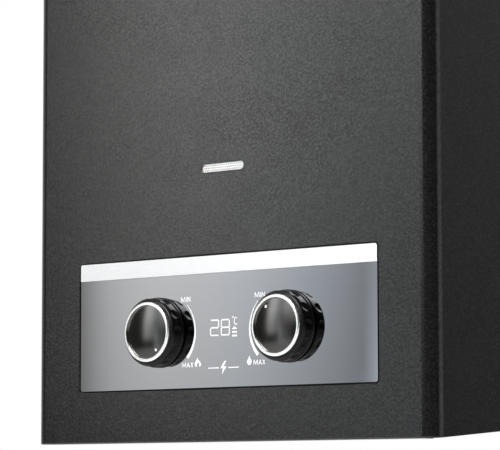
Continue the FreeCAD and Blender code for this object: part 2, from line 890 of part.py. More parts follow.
def make_handle_brackets():
    y0 = handle_y - bracket_width / 2
    y1 = handle_y + bracket_width / 2
    outside = bracket_face + bracket_sheet
    eye = side_plate(y0, y1, case_top, handle_z + bracket_width / 2, bracket_corner, bracket_face, outside)
    stem = block(bracket_face, outside, y0, y1, case_top, handle_z)
    foot = block(bracket_face - bracket_width, outside, y0, y1, case_top, case_top + bracket_sheet)
    ear = fuse([eye, stem, foot])
    x = bracket_face - bracket_width / 2
    hole = rod(
        handle_radius + handle_gap, (bracket_face - 1, handle_y, handle_z), (outside + 1, handle_y, handle_z),
    )
    ends = [(x, handle_y, z) for z in (case_top - 1, case_top + bracket_sheet + 1)]
    screw = rod(screw_radius + screw_hole_gap, *ends)
    ear = cut(ear, [hole, screw])
    return Part.makeCompound([ear, mirrored(ear)])


def make_carry_handle():
    bar_y = handle_y - handle_reach
    corners = [
        (handle_near, handle_y), (handle_half, handle_y), (handle_half, bar_y),
        (-handle_half, bar_y), (-handle_half, handle_y), (-handle_near, handle_y),
    ]
    return bent_rod([(x, y, handle_z) for x, y in corners], handle_radius, handle_bend)


def make_handle_grip():
    y = handle_y - handle_reach
    body = rod(grip_radius, (-grip_length / 2, y, handle_z), (grip_length / 2, y, handle_z))
    rims = [edge for edge in body.Edges if len(edge.Vertexes) == 1]
    body = body.makeFillet(grip_round, rims)
    grooves = []
    for k in range(groove_count):
        x = (k - (groove_count - 1) / 2) * groove_pitch
        ends = [(x + side * groove_width / 2, y, handle_z) for side in (-1, 1)]
        grooves.append(sleeve(grip_radius + 1, grip_radius - groove_depth, *ends))
    bore = rod(handle_radius + face_gap, (-grip_length, y, handle_z), (grip_length, y, handle_z))
    return cut(body, grooves + [bore])


def make_handle_clips():
    """Push-on clips that keep the rod's ends in the brackets."""
    inside = handle_near + clip_inset
    ends = [(x, handle_y, handle_z) for x in (inside, inside + clip_thickness)]
    clip = sleeve(clip_radius, handle_radius + face_gap, *ends)
    return Part.makeCompound([clip, mirrored(clip)])


# ---- Control panel ----
def spindle_holes(radius, y0, y1):
    return [rod(radius, (x, y0, knob_z), (x, y1, knob_z)) for x in (-knob_x, knob_x)]


def make_panel_glass():
    top = up(panel_rise + panel_height - strip_height) - strip_gap
    glass = upright_plate(
        -panel_width / 2, panel_width / 2, up(panel_rise), top + 2 * panel_corner, panel_corner,
        glass_face, glass_back,
    )
    above = block(-panel_width, panel_width, glass_face - 1, glass_back + 1, top, top + 3 * panel_corner)
    holes = spindle_holes(spindle_radius + shaft_hole_gap, glass_face - 1, glass_back + 1)
    return cut(glass, [above] + holes)


def make_trim_strip():
    low = up(panel_rise + panel_height - strip_height)
    top = up(panel_rise + panel_height)
    strip = upright_plate(
        -panel_width / 2, panel_width / 2, low - 2 * panel_corner, top, panel_corner,
        glass_face - strip_step, glass_back,
    )
    return strip.cut(block(-panel_width, panel_width, front - 1, glass_back + 1, low - 3 * panel_corner, low))


def make_panel_carrier():
    reach = panel_width / 2 + panel_gap
    low = up(panel_rise) - panel_gap
    high = up(panel_rise + panel_height) + panel_gap
    plate = upright_plate(
        -reach - carrier_margin, reach + carrier_margin, low - carrier_margin, high + carrier_margin,
        carrier_corner, inside_front, carrier_back,
    )
    seat = upright_plate(-reach, reach, low, high, panel_corner, inside_front - 1, glass_back)
    posts = [rod(post_radius, (x, carrier_back - 1, z), (x, board_face, z)) for x, z in board_post_places()]
    whole = fuse([plate.cut(seat)] + posts)
    tools = spindle_holes(boss_radius + shaft_hole_gap, inside_front - 1, carrier_back + 1)
    half_wide = display_width / 2 + display_gap
    half_high = display_height / 2 + display_gap
    tools.append(block(
        -half_wide, half_wide, glass_back - 1, carrier_back + 1, knob_z - half_high, knob_z + half_high,
    ))
    for x, z in stud_places():
        tools.append(rod(stud_radius + screw_hole_gap, (x, inside_front - 1, z), (x, carrier_back + 1, z)))
    return cut(whole, tools)


def board_post_places():
    x = board_width / 2 - 2 * post_radius
    dz = board_height / 2 - post_radius - post_margin
    return [(sx * x, knob_z + sz * dz) for sx in (-1, 1) for sz in (-1, 1)]


def make_panel_nuts():
    nuts = []
    for x, z in stud_places():
        reach = nut_flats / math.sqrt(3)
        angles = [math.radians(60 * k) for k in range(6)]
        points = [(x + reach * math.cos(a), carrier_back, z + reach * math.sin(a)) for a in angles]
        nut = prism(points, (0, nut_height, 0))
        ends = [(x, y, z) for y in (carrier_back - 1, carrier_back + nut_height + 1)]
        nuts.append(nut.cut(rod(stud_radius + face_gap, *ends)))
    return Part.makeCompound(nuts)


def make_control_board():
    board = upright_plate(
        -board_width / 2, board_width / 2, knob_z - board_height / 2, knob_z + board_height / 2,
        board_corner, board_face, board_face + board_thickness,
    )
    back = board_face + board_thickness
    lap = back - solder_lap
    chip = block(-chip_half, chip_half, lap, back + chip_height, knob_z - chip_half, knob_z + chip_half)
    plug_x, plug_z = plug_low_corner
    plug_wide, plug_high = plug_size
    plug_low = knob_z + plug_z
    plug = block(plug_x, plug_x + plug_wide, lap, back + plug_height, plug_low, plug_low + plug_high)
    can_x, can_z = capacitor_place
    can = rod(capacitor_radius, *[(can_x, y, knob_z + can_z) for y in (lap, back + capacitor_height)])
    return fuse([board, chip, plug, can])


def make_display_module():
    return block(
        -display_width / 2, display_width / 2, glass_back, board_face,
        knob_z - display_height / 2, knob_z + display_height / 2,
    )


# ---- Knobs ----
knob_back = glass_face - knob_standoff
knob_length = knob_reach - (front - knob_back)
ring_back = knob_length - ring_depth


def make_knob_body(x):
    profile = [
        (0, 0), (knob_radius - knob_edge, 0), (knob_radius, knob_edge),
        (knob_radius, base_rim), (barrel_radius, base_rim + base_slope),
    ]
    start = ring_back - shoulder_length
    for k in range(shoulder_steps + 1):
        a = math.radians(90 * k / shoulder_steps)
        profile.append((
            shoulder_radius + (barrel_radius - shoulder_radius) * math.cos(a),
            start + (ring_back - start) * math.sin(a),
        ))
    profile.append((0, ring_back))
    body = turned(profile, x, knob_back, knob_z)
    recess_depth = ring_back - knob_wall
    open_end = (x, knob_back + 1, knob_z)
    recess = sleeve(barrel_radius - knob_wall, hub_radius, open_end, (x, knob_back - recess_depth, knob_z))
    bore = rod(spindle_radius + spindle_gap, open_end, (x, knob_back - spindle_in_knob, knob_z))
    tools = [recess, bore]
    reach = barrel_radius + dimple_radius - dimple_depth
    middle = knob_back - dimple_place
    for k in range(dimple_count):
        a = math.radians(360 * k / dimple_count)
        centre = Vector(x + reach * math.sin(a), middle, knob_z + reach * math.cos(a))
        tools.append(Part.makeSphere(dimple_radius, centre))
    return cut(body, tools)


def make_knob_ring(x):
    front_bevel = knob_length - ring_bevel
    profile = [
        (ring_inner, ring_back), (ring_outer - ring_bevel, ring_back), (ring_outer, ring_back + ring_bevel),
        (ring_outer, front_bevel), (ring_outer - ring_bevel, knob_length),
        (ring_inner + ring_bevel, knob_length), (ring_inner, front_bevel),
    ]
    return turned(profile, x, knob_back, knob_z)


def make_knob_face(x):
    rim = ring_inner - face_gap
    edge = knob_length - face_edge_recess
    radius = (rim ** 2 + face_crown ** 2) / (2 * face_crown)
    disc = rod(rim, (x, knob_back - ring_back, knob_z), (x, knob_back - edge - face_crown, knob_z))
    ball = Part.makeSphere(radius, Vector(x, knob_back - edge - face_crown + radius, knob_z))
    return disc.common(ball)


def make_spindle(x):
    """Shaft with a flat; it turns with its knob and reaches into its valve."""
    start = knob_back - spindle_in_knob + spindle_end_gap
    shaft = rod(spindle_radius, (x, start, knob_z), (x, valve_face + spindle_in_valve, knob_z))
    wide = 2 * spindle_radius
    flat = block(x - wide, x + wide, start - 1, knob_back, knob_z + spindle_flat, knob_z + wide)
    return shaft.cut(flat)


# ---- Flame window ----
def make_flame_window_mesh():
    half = window_length / 2 + mesh_margin
    tall = window_height / 2 + mesh_margin
    z = up(window_rise)
    wires = [outline(-half, half, z - tall, z + tall, mesh_corner, lambda u, v: Vector(u, inside_front, v))]
    row_pitch = mesh_pitch * math.sqrt(3) / 2
    rows = int(window_height / row_pitch) + 1
    columns = int(window_length / mesh_pitch) + 2
    for row in range(-rows // 2, rows // 2 + 1):
        for column in range(-columns // 2, columns // 2 + 1):
            x = (column + (row % 2) / 2) * mesh_pitch
            if abs(x) < half - mesh_pitch:
                centre = Vector(x, inside_front, z + row * row_pitch)
                wires.append(Part.Wire(Part.makeCircle(mesh_hole_radius, centre, Vector(0, 1, 0))))
    sheet = Part.Face(wires[:1])
    holes = [Part.Face(wire).extrude(Vector(0, mesh_sheet, 0)) for wire in wires[1:]]
    return sheet.extrude(Vector(0, mesh_sheet, 0)).cut(Part.makeCompound(holes))


# ---- Pipe connections ----
def stub_places():
    """Gas, cold and hot connection in plan."""
    return [(-knob_x, gas_stub_y), (cold_stub_x, cold_stub_y), (hot_stub_x, hot_stub_y)]


def make_stub(x, y, top):
    """Threaded male connection with a collar above the bottom plate and a bore all through."""
    end = up(stub_end_rise)
    nut_face = plate_z - locknut_height
    collar = rod(collar_radius, (x, y, plate_top), (x, y, top))
    neck = rod(thread_radius, (x, y, nut_face), (x, y, plate_top))
    groove = rod(runout_radius, (x, y, nut_face - runout), (x, y, nut_face))
    thread = rod(thread_radius, (x, y, end + end_chamfer), (x, y, nut_face - runout))
    tip = Part.makeCone(thread_radius - end_chamfer, thread_radius, end_chamfer, Vector(x, y, end))
    body = fuse([collar, neck, groove, thread, tip])
    return body.cut(rod(stub_bore, (x, y, end - 1), (x, y, top + 1)))


def make_stub_locknuts():
    nuts = []
    for x, y in stub_places():
        nut = hexagon(locknut_flats, x, y, plate_z - locknut_height, plate_z)
        hole = rod(thread_radius + locknut_gap, (x, y, plate_z - locknut_height - 1), (x, y, plate_z + 1))
        nuts.append(nut.cut(hole))
    return Part.makeCompound(nuts)


def make_inlet_filter():
    """Brass-gauze thimble in the cold connection."""
    x, y = cold_stub_x, cold_stub_y
    low = up(stub_end_rise) + filter_rise
    high = low + filter_length
    outer = stub_bore - filter_gap
    cup = rod(outer, (x, y, low), (x, y, high))
    return cup.cut(rod(outer - filter_wall, (x, y, low - 1), (x, y, high - filter_wall)))


# ---- Gas valve ----
gas_left = -knob_x - gas_valve_width / 2
gas_right = -knob_x + gas_valve_width / 2
solenoid_y = gas_stub_y - solenoid_shift
solenoid_z = knob_z + solenoid_lift
riser_y = front + riser_back
riser_top = up(frame_bottom - riser_stop)


def solenoid_rod(radius, x0, x1):
    """Round bar on the solenoid's axis."""
    return rod(radius, (x0, solenoid_y, solenoid_z), (x1, solenoid_y, solenoid_z))


def make_gas_valve_body():
    low = up(valve_rise)
    high = low + gas_valve_height
    body = block(gas_left, gas_right, valve_face, valve_back, low, high)
    upright = [edge for edge in body.Edges if abs(edge.Length - gas_valve_height) < 1e-3]
    body = body.makeFillet(valve_corner, upright)
    nose = rod(boss_radius, (-knob_x, valve_face - boss_length, knob_z), (-knob_x, valve_face + 1, knob_z))
    outlet = rod(riser_radius, (-knob_x, riser_y, high - 1), (-knob_x, riser_y, riser_top))
    whole = fuse([body, nose, outlet])
    bore = rod(
        spindle_radius + spindle_gap, (-knob_x, valve_face - boss_length - 1, knob_z),
        (-knob_x, valve_face + spindle_in_valve + 1, knob_z),
    )
    chamber = solenoid_rod(seat_radius + seat_chamber_gap, gas_left - 1, gas_left + seat_chamber_depth)
    passage = rod(passage_radius, (-knob_x, riser_y, high - passage_depth), (-knob_x, riser_y, riser_top + 1))
    return cut(whole, [bore, chamber, passage])


def make_gas_solenoid():
    left = gas_left - solenoid_length
    can = solenoid_rod(solenoid_radius, left, gas_left)
    rim = solenoid_rod(solenoid_radius + solenoid_rim, gas_left - solenoid_rim_length, gas_left)
    hole = solenoid_rod(plunger_radius + plunger_gap, left + solenoid_end, gas_left + 1)
    return fuse([can, rim]).cut(hole)


def make_solenoid_plunger():
    left = gas_left - solenoid_length + solenoid_end + plunger_stroke + plunger_end_gap
    right = gas_left + plunger_reach
    stem = solenoid_rod(plunger_radius, left, right)
    return stem.fuse(solenoid_rod(seat_radius, right, right + seat_thickness))


# ---- Water valve ----
water_y = valve_face + water_axis_depth
water_z = up(valve_rise) + water_valve_height / 2
diaphragm_cover_face = water_valve_left - body_flange - diaphragm_thickness - cover_depth
diaphragm_right = water_valve_left - body_flange
diaphragm_left = diaphragm_right - diaphragm_thickness


def clamp_screw_places():
    """Screws on a circle round the diaphragm."""
    angles = [math.radians(45 + 90 * k) for k in range(4)]
    reach = clamp_screw_circle
    return [(water_y + reach * math.cos(a), water_z + reach * math.sin(a)) for a in angles]


def clamp_holes(x0, x1, radius):
    return [rod(radius, (x0, y, z), (x1, y, z)) for y, z in clamp_screw_places()]


def water_rod(radius, x0, x1):
    """Round bar on the diaphragm's axis."""
    return rod(radius, (x0, water_y, water_z), (x1, water_y, water_z))


def make_water_valve_body():
    low = up(valve_rise)
    high = low + water_valve_height
    body = block(water_valve_left, water_valve_right, valve_face, valve_back, low, high)
    upright = [edge for edge in body.Edges if abs(edge.Length - water_valve_height) < 1e-3]
    body = body.makeFillet(valve_corner, upright)
    boss_end = water_valve_right + outlet_boss_length
    flange = water_rod(diaphragm_radius, diaphragm_right, water_valve_left + flange_lap)
    nose = rod(boss_radius, (knob_x, valve_face - boss_length, knob_z), (knob_x, valve_face + 1, knob_z))
    outlet = water_rod(outlet_boss_radius, water_valve_right - 1, boss_end)
    whole = fuse([body, flange, nose, outlet])
    bore = rod(
        spindle_radius + spindle_gap, (knob_x, valve_face - boss_length - 1, knob_z),
        (knob_x, valve_face + spindle_in_valve + 1, knob_z),
    )
    chamber = water_rod(chamber_radius, diaphragm_right - 1, diaphragm_right + chamber_depth)
    passage = water_rod(tube_radius - tube_wall, water_valve_right - outlet_passage, boss_end + 1)
    holes = clamp_holes(diaphragm_right - 1, diaphragm_right + clamp_hole_depth, screw_radius)
    return cut(whole, [bore, chamber, passage] + holes)


def make_diaphragm():
    disc = water_rod(diaphragm_radius, diaphragm_left, diaphragm_right)
    return cut(disc, clamp_holes(diaphragm_left - 1, diaphragm_right + 1, screw_radius))


def make_diaphragm_cover():
    left = diaphragm_cover_face
    cover = water_rod(diaphragm_radius, left, diaphragm_left)
    guide = water_rod(rod_radius + guide_wall, left - guide_length, left + 1)
    hollow = water_rod(chamber_radius, left + cover_wall, diaphragm_left + 1)
    bore = water_rod(rod_radius + rod_gap, left - guide_length - 1, left + cover_wall + 1)
    holes = clamp_holes(left - 1, diaphragm_left + 1, screw_radius + screw_hole_gap)
    return cut(cover.fuse(guide), [hollow, bore] + holes)


rod_end = diaphragm_cover_face - rod_reach


def make_push_rod():
    """Plate that the diaphragm pushes, with the rod that works the switch."""
    right = diaphragm_left - seat_gap
    plate = water_rod(push_plate_radius, right - push_plate_thickness, right)
    return plate.fuse(water_rod(rod_radius, rod_end, right - push_plate_thickness / 2))


# ---- Microswitch ----
lever_x = rod_end - seat_gap
lever_pin_z = water_z - lever_drop
switch_right = lever_x - lever_eye_radius - rod_stroke - switch_gap
lever_pin_x = lever_x - lever_thickness / 2


def make_microswitch():
    y0 = water_y - switch_thickness / 2
    y1 = water_y + switch_thickness / 2
    low = lever_pin_z - switch_pin_rise
    body = block(switch_right - switch_width, switch_right, y0, y1, low, low + switch_length)
    ears = []
    for side in (y0, y1 - switch_ear):
        ears.append(block(
            switch_right - 1, lever_pin_x + switch_ear_reach, side, side + switch_ear,
            lever_pin_z - lever_eye_radius, lever_pin_z + lever_eye_radius,
        ))
    pin = rod(lever_pin_radius, (lever_pin_x, y0, lever_pin_z), (lever_pin_x, y1, lever_pin_z))
    bracket = block(
        gas_right, switch_right - switch_width + 1, y0, y1, lever_pin_z, lever_pin_z + switch_bracket,
    )
    return fuse([body, pin, bracket] + ears)


def make_microswitch_lever():
    half = switch_thickness / 2 - switch_ear - lever_side_gap
    y0 = water_y - half
    y1 = water_y + half
    eye = rod(lever_eye_radius, (lever_pin_x, y0, lever_pin_z), (lever_pin_x, y1, lever_pin_z))
    blade = block(lever_x - lever_thickness, lever_x, y0, y1, lever_pin_z, water_z + lever_tip)
    ends = [(lever_pin_x, y, lever_pin_z) for y in (y0 - 1, y1 + 1)]
    return eye.fuse(blade).cut(rod(lever_pin_radius + lever_pin_gap, *ends))


# ---- Drain tap ----
def make_drain_tap_body():
    end = up(drain_end_rise)
    body = rod(drain_radius, (drain_x, drain_y, end), (drain_x, drain_y, up(valve_rise)))
    pin_end = end - drain_lever_thickness - drain_end_play
    pin = rod(drain_pin_radius, (drain_x, drain_y, pin_end), (drain_x, drain_y, end + 1))
    ends = [(drain_x, drain_y, z) for z in (pin_end - drain_head, pin_end)]
    head = rod(drain_pin_radius + drain_head_rim, *ends)
    return fuse([body, pin, head])


def make_drain_tap_lever():
    top = up(drain_end_rise) - seat_gap
    low = top - drain_lever_thickness + seat_gap
    hub = rod(drain_radius, (drain_x, drain_y, low), (drain_x, drain_y, top))
    arm = level_plate(
        drain_x - drain_lever_length, drain_x + drain_radius,
        drain_y - drain_arm_half, drain_y + drain_arm_half,
        drain_arm_corner, low, low + drain_arm_thickness,
    )
    hole = rod(drain_pin_radius + drain_pin_gap, (drain_x, drain_y, low - 1), (drain_x, drain_y, top + 1))
    return hub.fuse(arm).cut(hole)


# ---- Burner ----
def burner_places():
    return [(k - (burner_count - 1) / 2) * burner_pitch for k in range(burner_count)]


frame_front = shell_front + frame_ends
frame_back = shell_back - frame_ends


def make_burner_bars():
    y0 = frame_front + frame_sheet + bar_gap
    y1 = frame_back - frame_sheet - bar_gap
    half = burner_bar_width / 2
    blade_low = up(burner_top - burner_blade)
    blade = block(-half, half, y0, y1, blade_low, up(burner_top))
    web = block(-bar_web / 2, bar_web / 2, y0, y1, up(burner_axis), blade_low + 1)
    tube = rod(burner_tube_radius, (0, y0, up(burner_axis)), (0, y1, up(burner_axis)))
    bar = fuse([blade, web, tube])
    tools = [rod(burner_bore_radius, (0, y0 - 1, up(burner_axis)), (0, y1 - bar_blind, up(burner_axis)))]
    spacing = (y1 - y0) / port_count
    port_half = half - port_margin
    for k in range(port_count):
        y = y0 + (k + 0.5) * spacing
        tools.append(block(
            -port_half, port_half, y - port_width / 2, y + port_width / 2,
            up(burner_top - port_depth), up(burner_top) + 1,
        ))
    bar = cut(bar, tools)
    return Part.makeCompound([moved(bar, x, 0, 0) for x in burner_places()])


def make_burner_frame():
    low = up(frame_bottom)
    high = up(shell_bottom)
    outer = block(-frame_half, frame_half, frame_front, frame_back, low, high)
    inner = block(
        -frame_half + frame_sheet, frame_half - frame_sheet, frame_front + frame_sheet,
        frame_back - frame_sheet, low - 1, high + 1,
    )
    rim = block(-shell_half, shell_half, shell_front, shell_back, high - frame_sheet, high).cut(inner)
    holes = []
    for x in burner_places():
        ends = [(x, y, up(burner_axis)) for y in (frame_front - 1, frame_front + frame_sheet + 1)]
        holes.append(rod(burner_bore_radius, *ends))
    foot = block(-rail_half, rail_half, frame_back - frame_sheet, wall_side, low, low + frame_sheet)
    return cut(fuse([outer.cut(inner), rim, foot]), holes)


manifold_back = frame_front - manifold_gap
manifold_front = manifold_back - manifold_size


def make_gas_manifold():
    z = up(burner_axis)
    reach = burner_places()[-1] + manifold_end
    bar = block(-reach, reach, manifold_front, manifold_back, z - manifold_size / 2, z + manifold_size / 2)
    long_edges = [edge for edge in bar.Edges if abs(edge.Length - 2 * reach) < 1e-3]
    bar = bar.makeFillet(manifold_round, long_edges)
    drop = block(-knob_x - riser_radius, -knob_x + riser_radius, manifold_front, manifold_back, riser_top, z)
    foot_half = riser_radius + manifold_foot_margin
    foot = block(
        -knob_x - foot_half, -knob_x + foot_half, manifold_front, riser_y + riser_radius,
        riser_top, riser_top + manifold_foot,
    )
    whole = fuse([bar, drop, foot])
    tools = []
    for x in burner_places():
        tools.append(rod(jet_stem_radius, (x, manifold_back - jet_hole_depth, z), (x, manifold_back + 1, z)))
    return cut(whole, tools)


def make_gas_jets():
    z = up(burner_axis)
    jets = []
    for x in burner_places():
        head = rod(jet_radius, (x, manifold_back, z), (x, frame_front - seat_gap, z))
        stem = rod(jet_stem_radius - face_gap, (x, manifold_back - jet_stem, z), (x, manifold_back + 1, z))
        hole = rod(jet_bore, (x, manifold_back - jet_hole_depth, z), (x, frame_front + 1, z))
        jets.append(head.fuse(stem).cut(hole))
    return Part.makeCompound(jets)


# ---- Heat exchanger ----
coil_front = shell_front - tube_radius - tube_gap
coil_back = shell_back + tube_radius + tube_gap
shell_middle = (shell_front + shell_back) / 2
pass_ys = [shell_middle + (k - (pass_count - 1) / 2) * pass_pitch for k in range(pass_count)]


def pass_holes(radius, x0, x1):
    return [rod(radius, (x0, y, up(fin_row)), (x1, y, up(fin_row))) for y in pass_ys]


def make_exchanger_shell():
    outer = level_plate(
        -shell_half, shell_half, shell_front, shell_back, shell_corner, up(shell_bottom), up(shell_top),
    )
    inner = level_plate(
        -shell_half + shell_sheet, shell_half - shell_sheet, shell_front + shell_sheet,
        shell_back - shell_sheet, shell_corner - shell_sheet, up(shell_bottom) - 1, up(shell_top) + 1,
    )
    shell = outer.cut(inner)
    through = (shell_front - 1, shell_front + shell_sheet + 1)
    reach = window_length / 2 + sight_margin
    sight = upright_plate(
        -reach, reach, up(window_rise - sight_below), up(window_rise + sight_above), sight_corner, *through,
    )
    tools = [sight] + pass_holes(tube_radius + tube_hole_gap, -shell_half - 1, shell_half + 1)
    for x in (-electrode_x, electrode_x):
        ends = [(x, y, up(electrode_rise)) for y in through]
        tools.append(rod(electrode_radius + tube_hole_gap, *ends))
    return cut(shell, tools)


def make_exchanger_fins():
    edge = shell_sheet + tube_gap
    plate = block(
        -fin_sheet / 2, fin_sheet / 2, shell_front + edge, shell_back - edge,
        up(fin_row - fin_height / 2), up(fin_row + fin_height / 2),
    )
    plate = cut(plate, pass_holes(tube_radius + tube_hole_gap, -fin_sheet, fin_sheet))
    places = [(k - (fin_count - 1) / 2) * fin_pitch for k in range(fin_count)]
    return Part.makeCompound([moved(plate, x, 0, 0) for x in places])


def make_exchanger_tube():
    z = up(fin_row)
    points = [(-pass_reach, pass_ys[0], z - pass_drop)]
    side = -1
    for k, y in enumerate(pass_ys):
        last = k == pass_count - 1
        points.append((side * pass_reach, y, z))
        end = hot_stub_x if last and side > 0 else -side * pass_reach
        points.append((end, y, z))
        side = -side
    points.append((hot_stub_x, pass_ys[-1], z - pass_drop))
    return bent_tube(points, tube_radius, tube_wall, pass_pitch / 2 - 0.01)


def make_coil_tube():
    points = [(coil_x, water_y, up(coil_start - coil_lead)), (coil_x, water_y, up(coil_start))]
    for turn in range(coil_turns):
        z = up(coil_start + coil_pitch * turn)
        corners = [(coil_x, coil_back), (-coil_x, coil_back), (-coil_x, coil_front), (coil_x, coil_front)]
        points += [(x, y, z) for x, y in corners]
    z = up(coil_start + coil_pitch * coil_turns)
    points += [
        (coil_x, coil_back, z), (-pass_reach, coil_back, z), (-pass_reach, pass_ys[0], z),
        (-pass_reach, pass_ys[0], up(fin_row) - pass_drop),
    ]
    return bent_tube(points, tube_radius, tube_wall, shell_corner + tube_radius + tube_gap)


def make_cold_pipe():
    start = water_valve_right + outlet_boss_length
    points = [
        (start, water_y, water_z), (coil_x, water_y, water_z), (coil_x, water_y, up(coil_start - coil_lead)),
    ]
    return bent_tube(points, tube_radius, tube_wall, pipe_bend)


def make_hot_pipe():
    top = up(fin_row) - pass_drop
    ends = [(hot_stub_x, hot_stub_y, z) for z in (up(valve_rise), top)]
    return sleeve(tube_radius, tube_radius - tube_wall, *ends)


def hood_form(inset):
    """Outer or, by the sheet's thickness further in, inner form of the hood and its neck."""
    neck_x = neck_half_x - inset
    neck_y = neck_half_y - inset

    def rectangle(half_x, y0, y1, z):
        points = [(half_x, y0, z), (half_x, y1, z), (-half_x, y1, z), (-half_x, y0, z), (half_x, y0, z)]
        return Part.makePolygon([Vector(*p) for p in points])

    low = rectangle(shell_half - inset, shell_front + inset, shell_back - inset, up(shell_top))
    high = rectangle(neck_x, flue_y - neck_y, flue_y + neck_y, up(hood_top))
    cone = Part.makeLoft([low, high], True, True)
    neck = block(-neck_x, neck_x, flue_y - neck_y, flue_y + neck_y, up(hood_top), case_top + neck_rise)
    return cone.fuse(neck)


def make_draft_hood():
    neck_x = neck_half_x - shell_sheet
    neck_y = neck_half_y - shell_sheet
    high = case_top + neck_rise
    mouth = block(-neck_x, neck_x, flue_y - neck_y, flue_y + neck_y, high - 1, high + 1)
    return cut(hood_form(0), [hood_form(shell_sheet), mouth]).removeSplitter()


# ---- Electrical pieces ----
def make_battery_box():
    x0, x1, y0, y1 = battery_bay()
    high = plate_top + cell_length + cell_end_room + battery_wall
    outer = level_plate(x0, x1, y0, y1, battery_corner, plate_top, high)
    inner = level_plate(
        x0 + battery_wall, x1 - battery_wall, y0 + battery_wall, y1 - battery_wall,
        battery_corner - battery_wall, plate_top - 1, high - battery_wall,
    )
    flange = level_plate(
        x0 - box_flange, x1 + box_flange_right, y0 - box_flange, y1 + box_flange,
        battery_corner, plate_top, plate_top + battery_wall,
    )
    return outer.fuse(flange).cut(inner)


def cell_places():
    x0, x1, y0, y1 = battery_bay()
    middle = (x0 + x1) / 2
    return [(middle - cell_pitch / 2, (y0 + y1) / 2), (middle + cell_pitch / 2, (y0 + y1) / 2)]


def make_batteries():
    """Two cells side by side, one of them upside down."""
    cells = []
    low = plate_top + cell_lift
    high = low + cell_length
    bottom = (low, low + pole_height)
    top = (high - pole_height, high)
    for (x, y), (pole_end, base_end) in zip(cell_places(), [(bottom, top), (top, bottom)]):
        can = rod(cell_radius, (x, y, low + can_inset), (x, y, high - can_inset))
        pole = rod(pole_radius, *[(x, y, z) for z in pole_end])
        base = rod(cell_radius - cell_base_step, *[(x, y, z) for z in base_end])
        cells.append(fuse([can, pole, base]))
    return Part.makeCompound(cells)


def make_battery_contacts():
    """Flat strips at the closed end of the box, one for each cell."""
    high = plate_top + cell_length + cell_end_room
    half = contact_half
    strips = []
    for x, y in cell_places():
        strip = block(x - half, x + half, y - half, y + half, high - contact_sheet, high)
        bump = rod(contact_bump, (x, y, high - contact_rise), (x, y, high - contact_sheet / 2))
        strips.append(strip.fuse(bump))
    return Part.makeCompound(strips)


hinge_z = plate_z - lid_gap - hinge_radius
lid_hinge_y = battery_back + lid_overlap + hinge_radius
ear_radius = hinge_radius - lid_gap


def make_battery_lid():
    x0, x1, y0, y1 = battery_bay()
    y = lid_hinge_y
    top = plate_z - lid_gap
    low = top - lid_thickness
    middle = (x0 + x1) / 2
    barrel_x0 = x0 + barrel_inset
    barrel_x1 = x1 - barrel_inset
    panel = level_plate(
        x0 - lid_left, x1 + lid_right, y0 - lid_front, y1 + lid_overlap, battery_corner, low, top,
    )
    barrel = rod(hinge_radius, (barrel_x0, y, hinge_z), (barrel_x1, y, hinge_z))
    web = block(barrel_x0, barrel_x1, y1, y, low, top - web_drop)
    catch = level_plate(
        middle - catch_half, middle + catch_half, y0 - catch_reach, y0, catch_corner, low, top,
    )
    hole = rod(hinge_pin_radius + hinge_pin_gap, (barrel_x0 - 1, y, hinge_z), (barrel_x1 + 1, y, hinge_z))
    return fuse([panel, barrel, web, catch]).cut(hole)


def make_hinge_ears():
    """Two ears under the bottom plate and the pin between them, which carry the battery lid."""
    x0, x1, _, _ = battery_bay()
    y = lid_hinge_y
    left = x0 + ear_inset
    right = x1 - ear_inset
    ears = [rod(hinge_pin_radius, (left, y, hinge_z), (right, y, hinge_z))]
    for start in (left, right - ear_width):
        ears.append(block(start, start + ear_width, y - ear_radius, y + ear_radius, hinge_z, plate_z))
        ears.append(rod(ear_radius, (start, y, hinge_z), (start + ear_width, y, hinge_z)))
    return ears


# ---- Ignition and safety ----
def tower_place():
    """Centre of the igniter's high-voltage outlet in plan."""
    return igniter_left + igniter_size[0] / 2, igniter_front + tower_inset


def make_igniter_box():
    width, depth, height = igniter_size
    high = plate_top + height
    body = level_plate(
        igniter_left, igniter_left + width, igniter_front, igniter_front + depth,
        igniter_round, plate_top, high,
    )
    x, y = tower_place()
    return body.fuse(rod(tower_radius, (x, y, high - 1), (x, y, high + tower_height)))


def make_ignition_electrodes():
    """Spark electrode and flame-sensing electrode, each a ceramic with a bent wire tip."""
    pair = []
    z = up(electrode_rise)
    tip_y = shell_front + electrode_tip
    for x in (-electrode_x, electrode_x):
        ends = [(x, shell_front + side * electrode_half, z) for side in (-1, 1)]
        ceramic = rod(electrode_radius, *ends)
        inside = shell_front + electrode_half - 1
        points = [(x, inside, z), (x, tip_y, z), (x, tip_y, up(burner_top + spark_gap))]
        pair.append(ceramic.fuse(bent_rod(points, electrode_wire, electrode_bend)))
    return Part.makeCompound(pair)


def make_overheat_switch():
    """Thermal cut-out clipped on the hot pipe."""
    x, y = hot_stub_x, hot_stub_y
    z = up(overheat_rise)
    half = overheat_clip_height / 2
    clip = rod(tube_radius + overheat_clip, (x, y, z - half), (x, y, z + half))
    disc = rod(overheat_radius, (x - tube_radius - overheat_reach, y, z), (x, y, z))
    hole = rod(tube_radius + tube_hole_gap, (x, y, z - 2 * half), (x, y, z + 2 * half))
    return clip.fuse(disc).cut(hole)


def make_wiring():
    """The insulated high-voltage lead from the igniter to the spark electrode."""
    x, y = tower_place()
    z = up(electrode_rise)
    lead_y = shell_front - wire_stand_off
    points = [
        (x, y, plate_top + igniter_size[2] + tower_height), (x, y, z - wire_slack), (x, lead_y, z),
        (-electrode_x, lead_y, z), (-electrode_x, shell_front - electrode_half, z),
    ]
    return bent_rod(points, wire_radius, wire_bend)


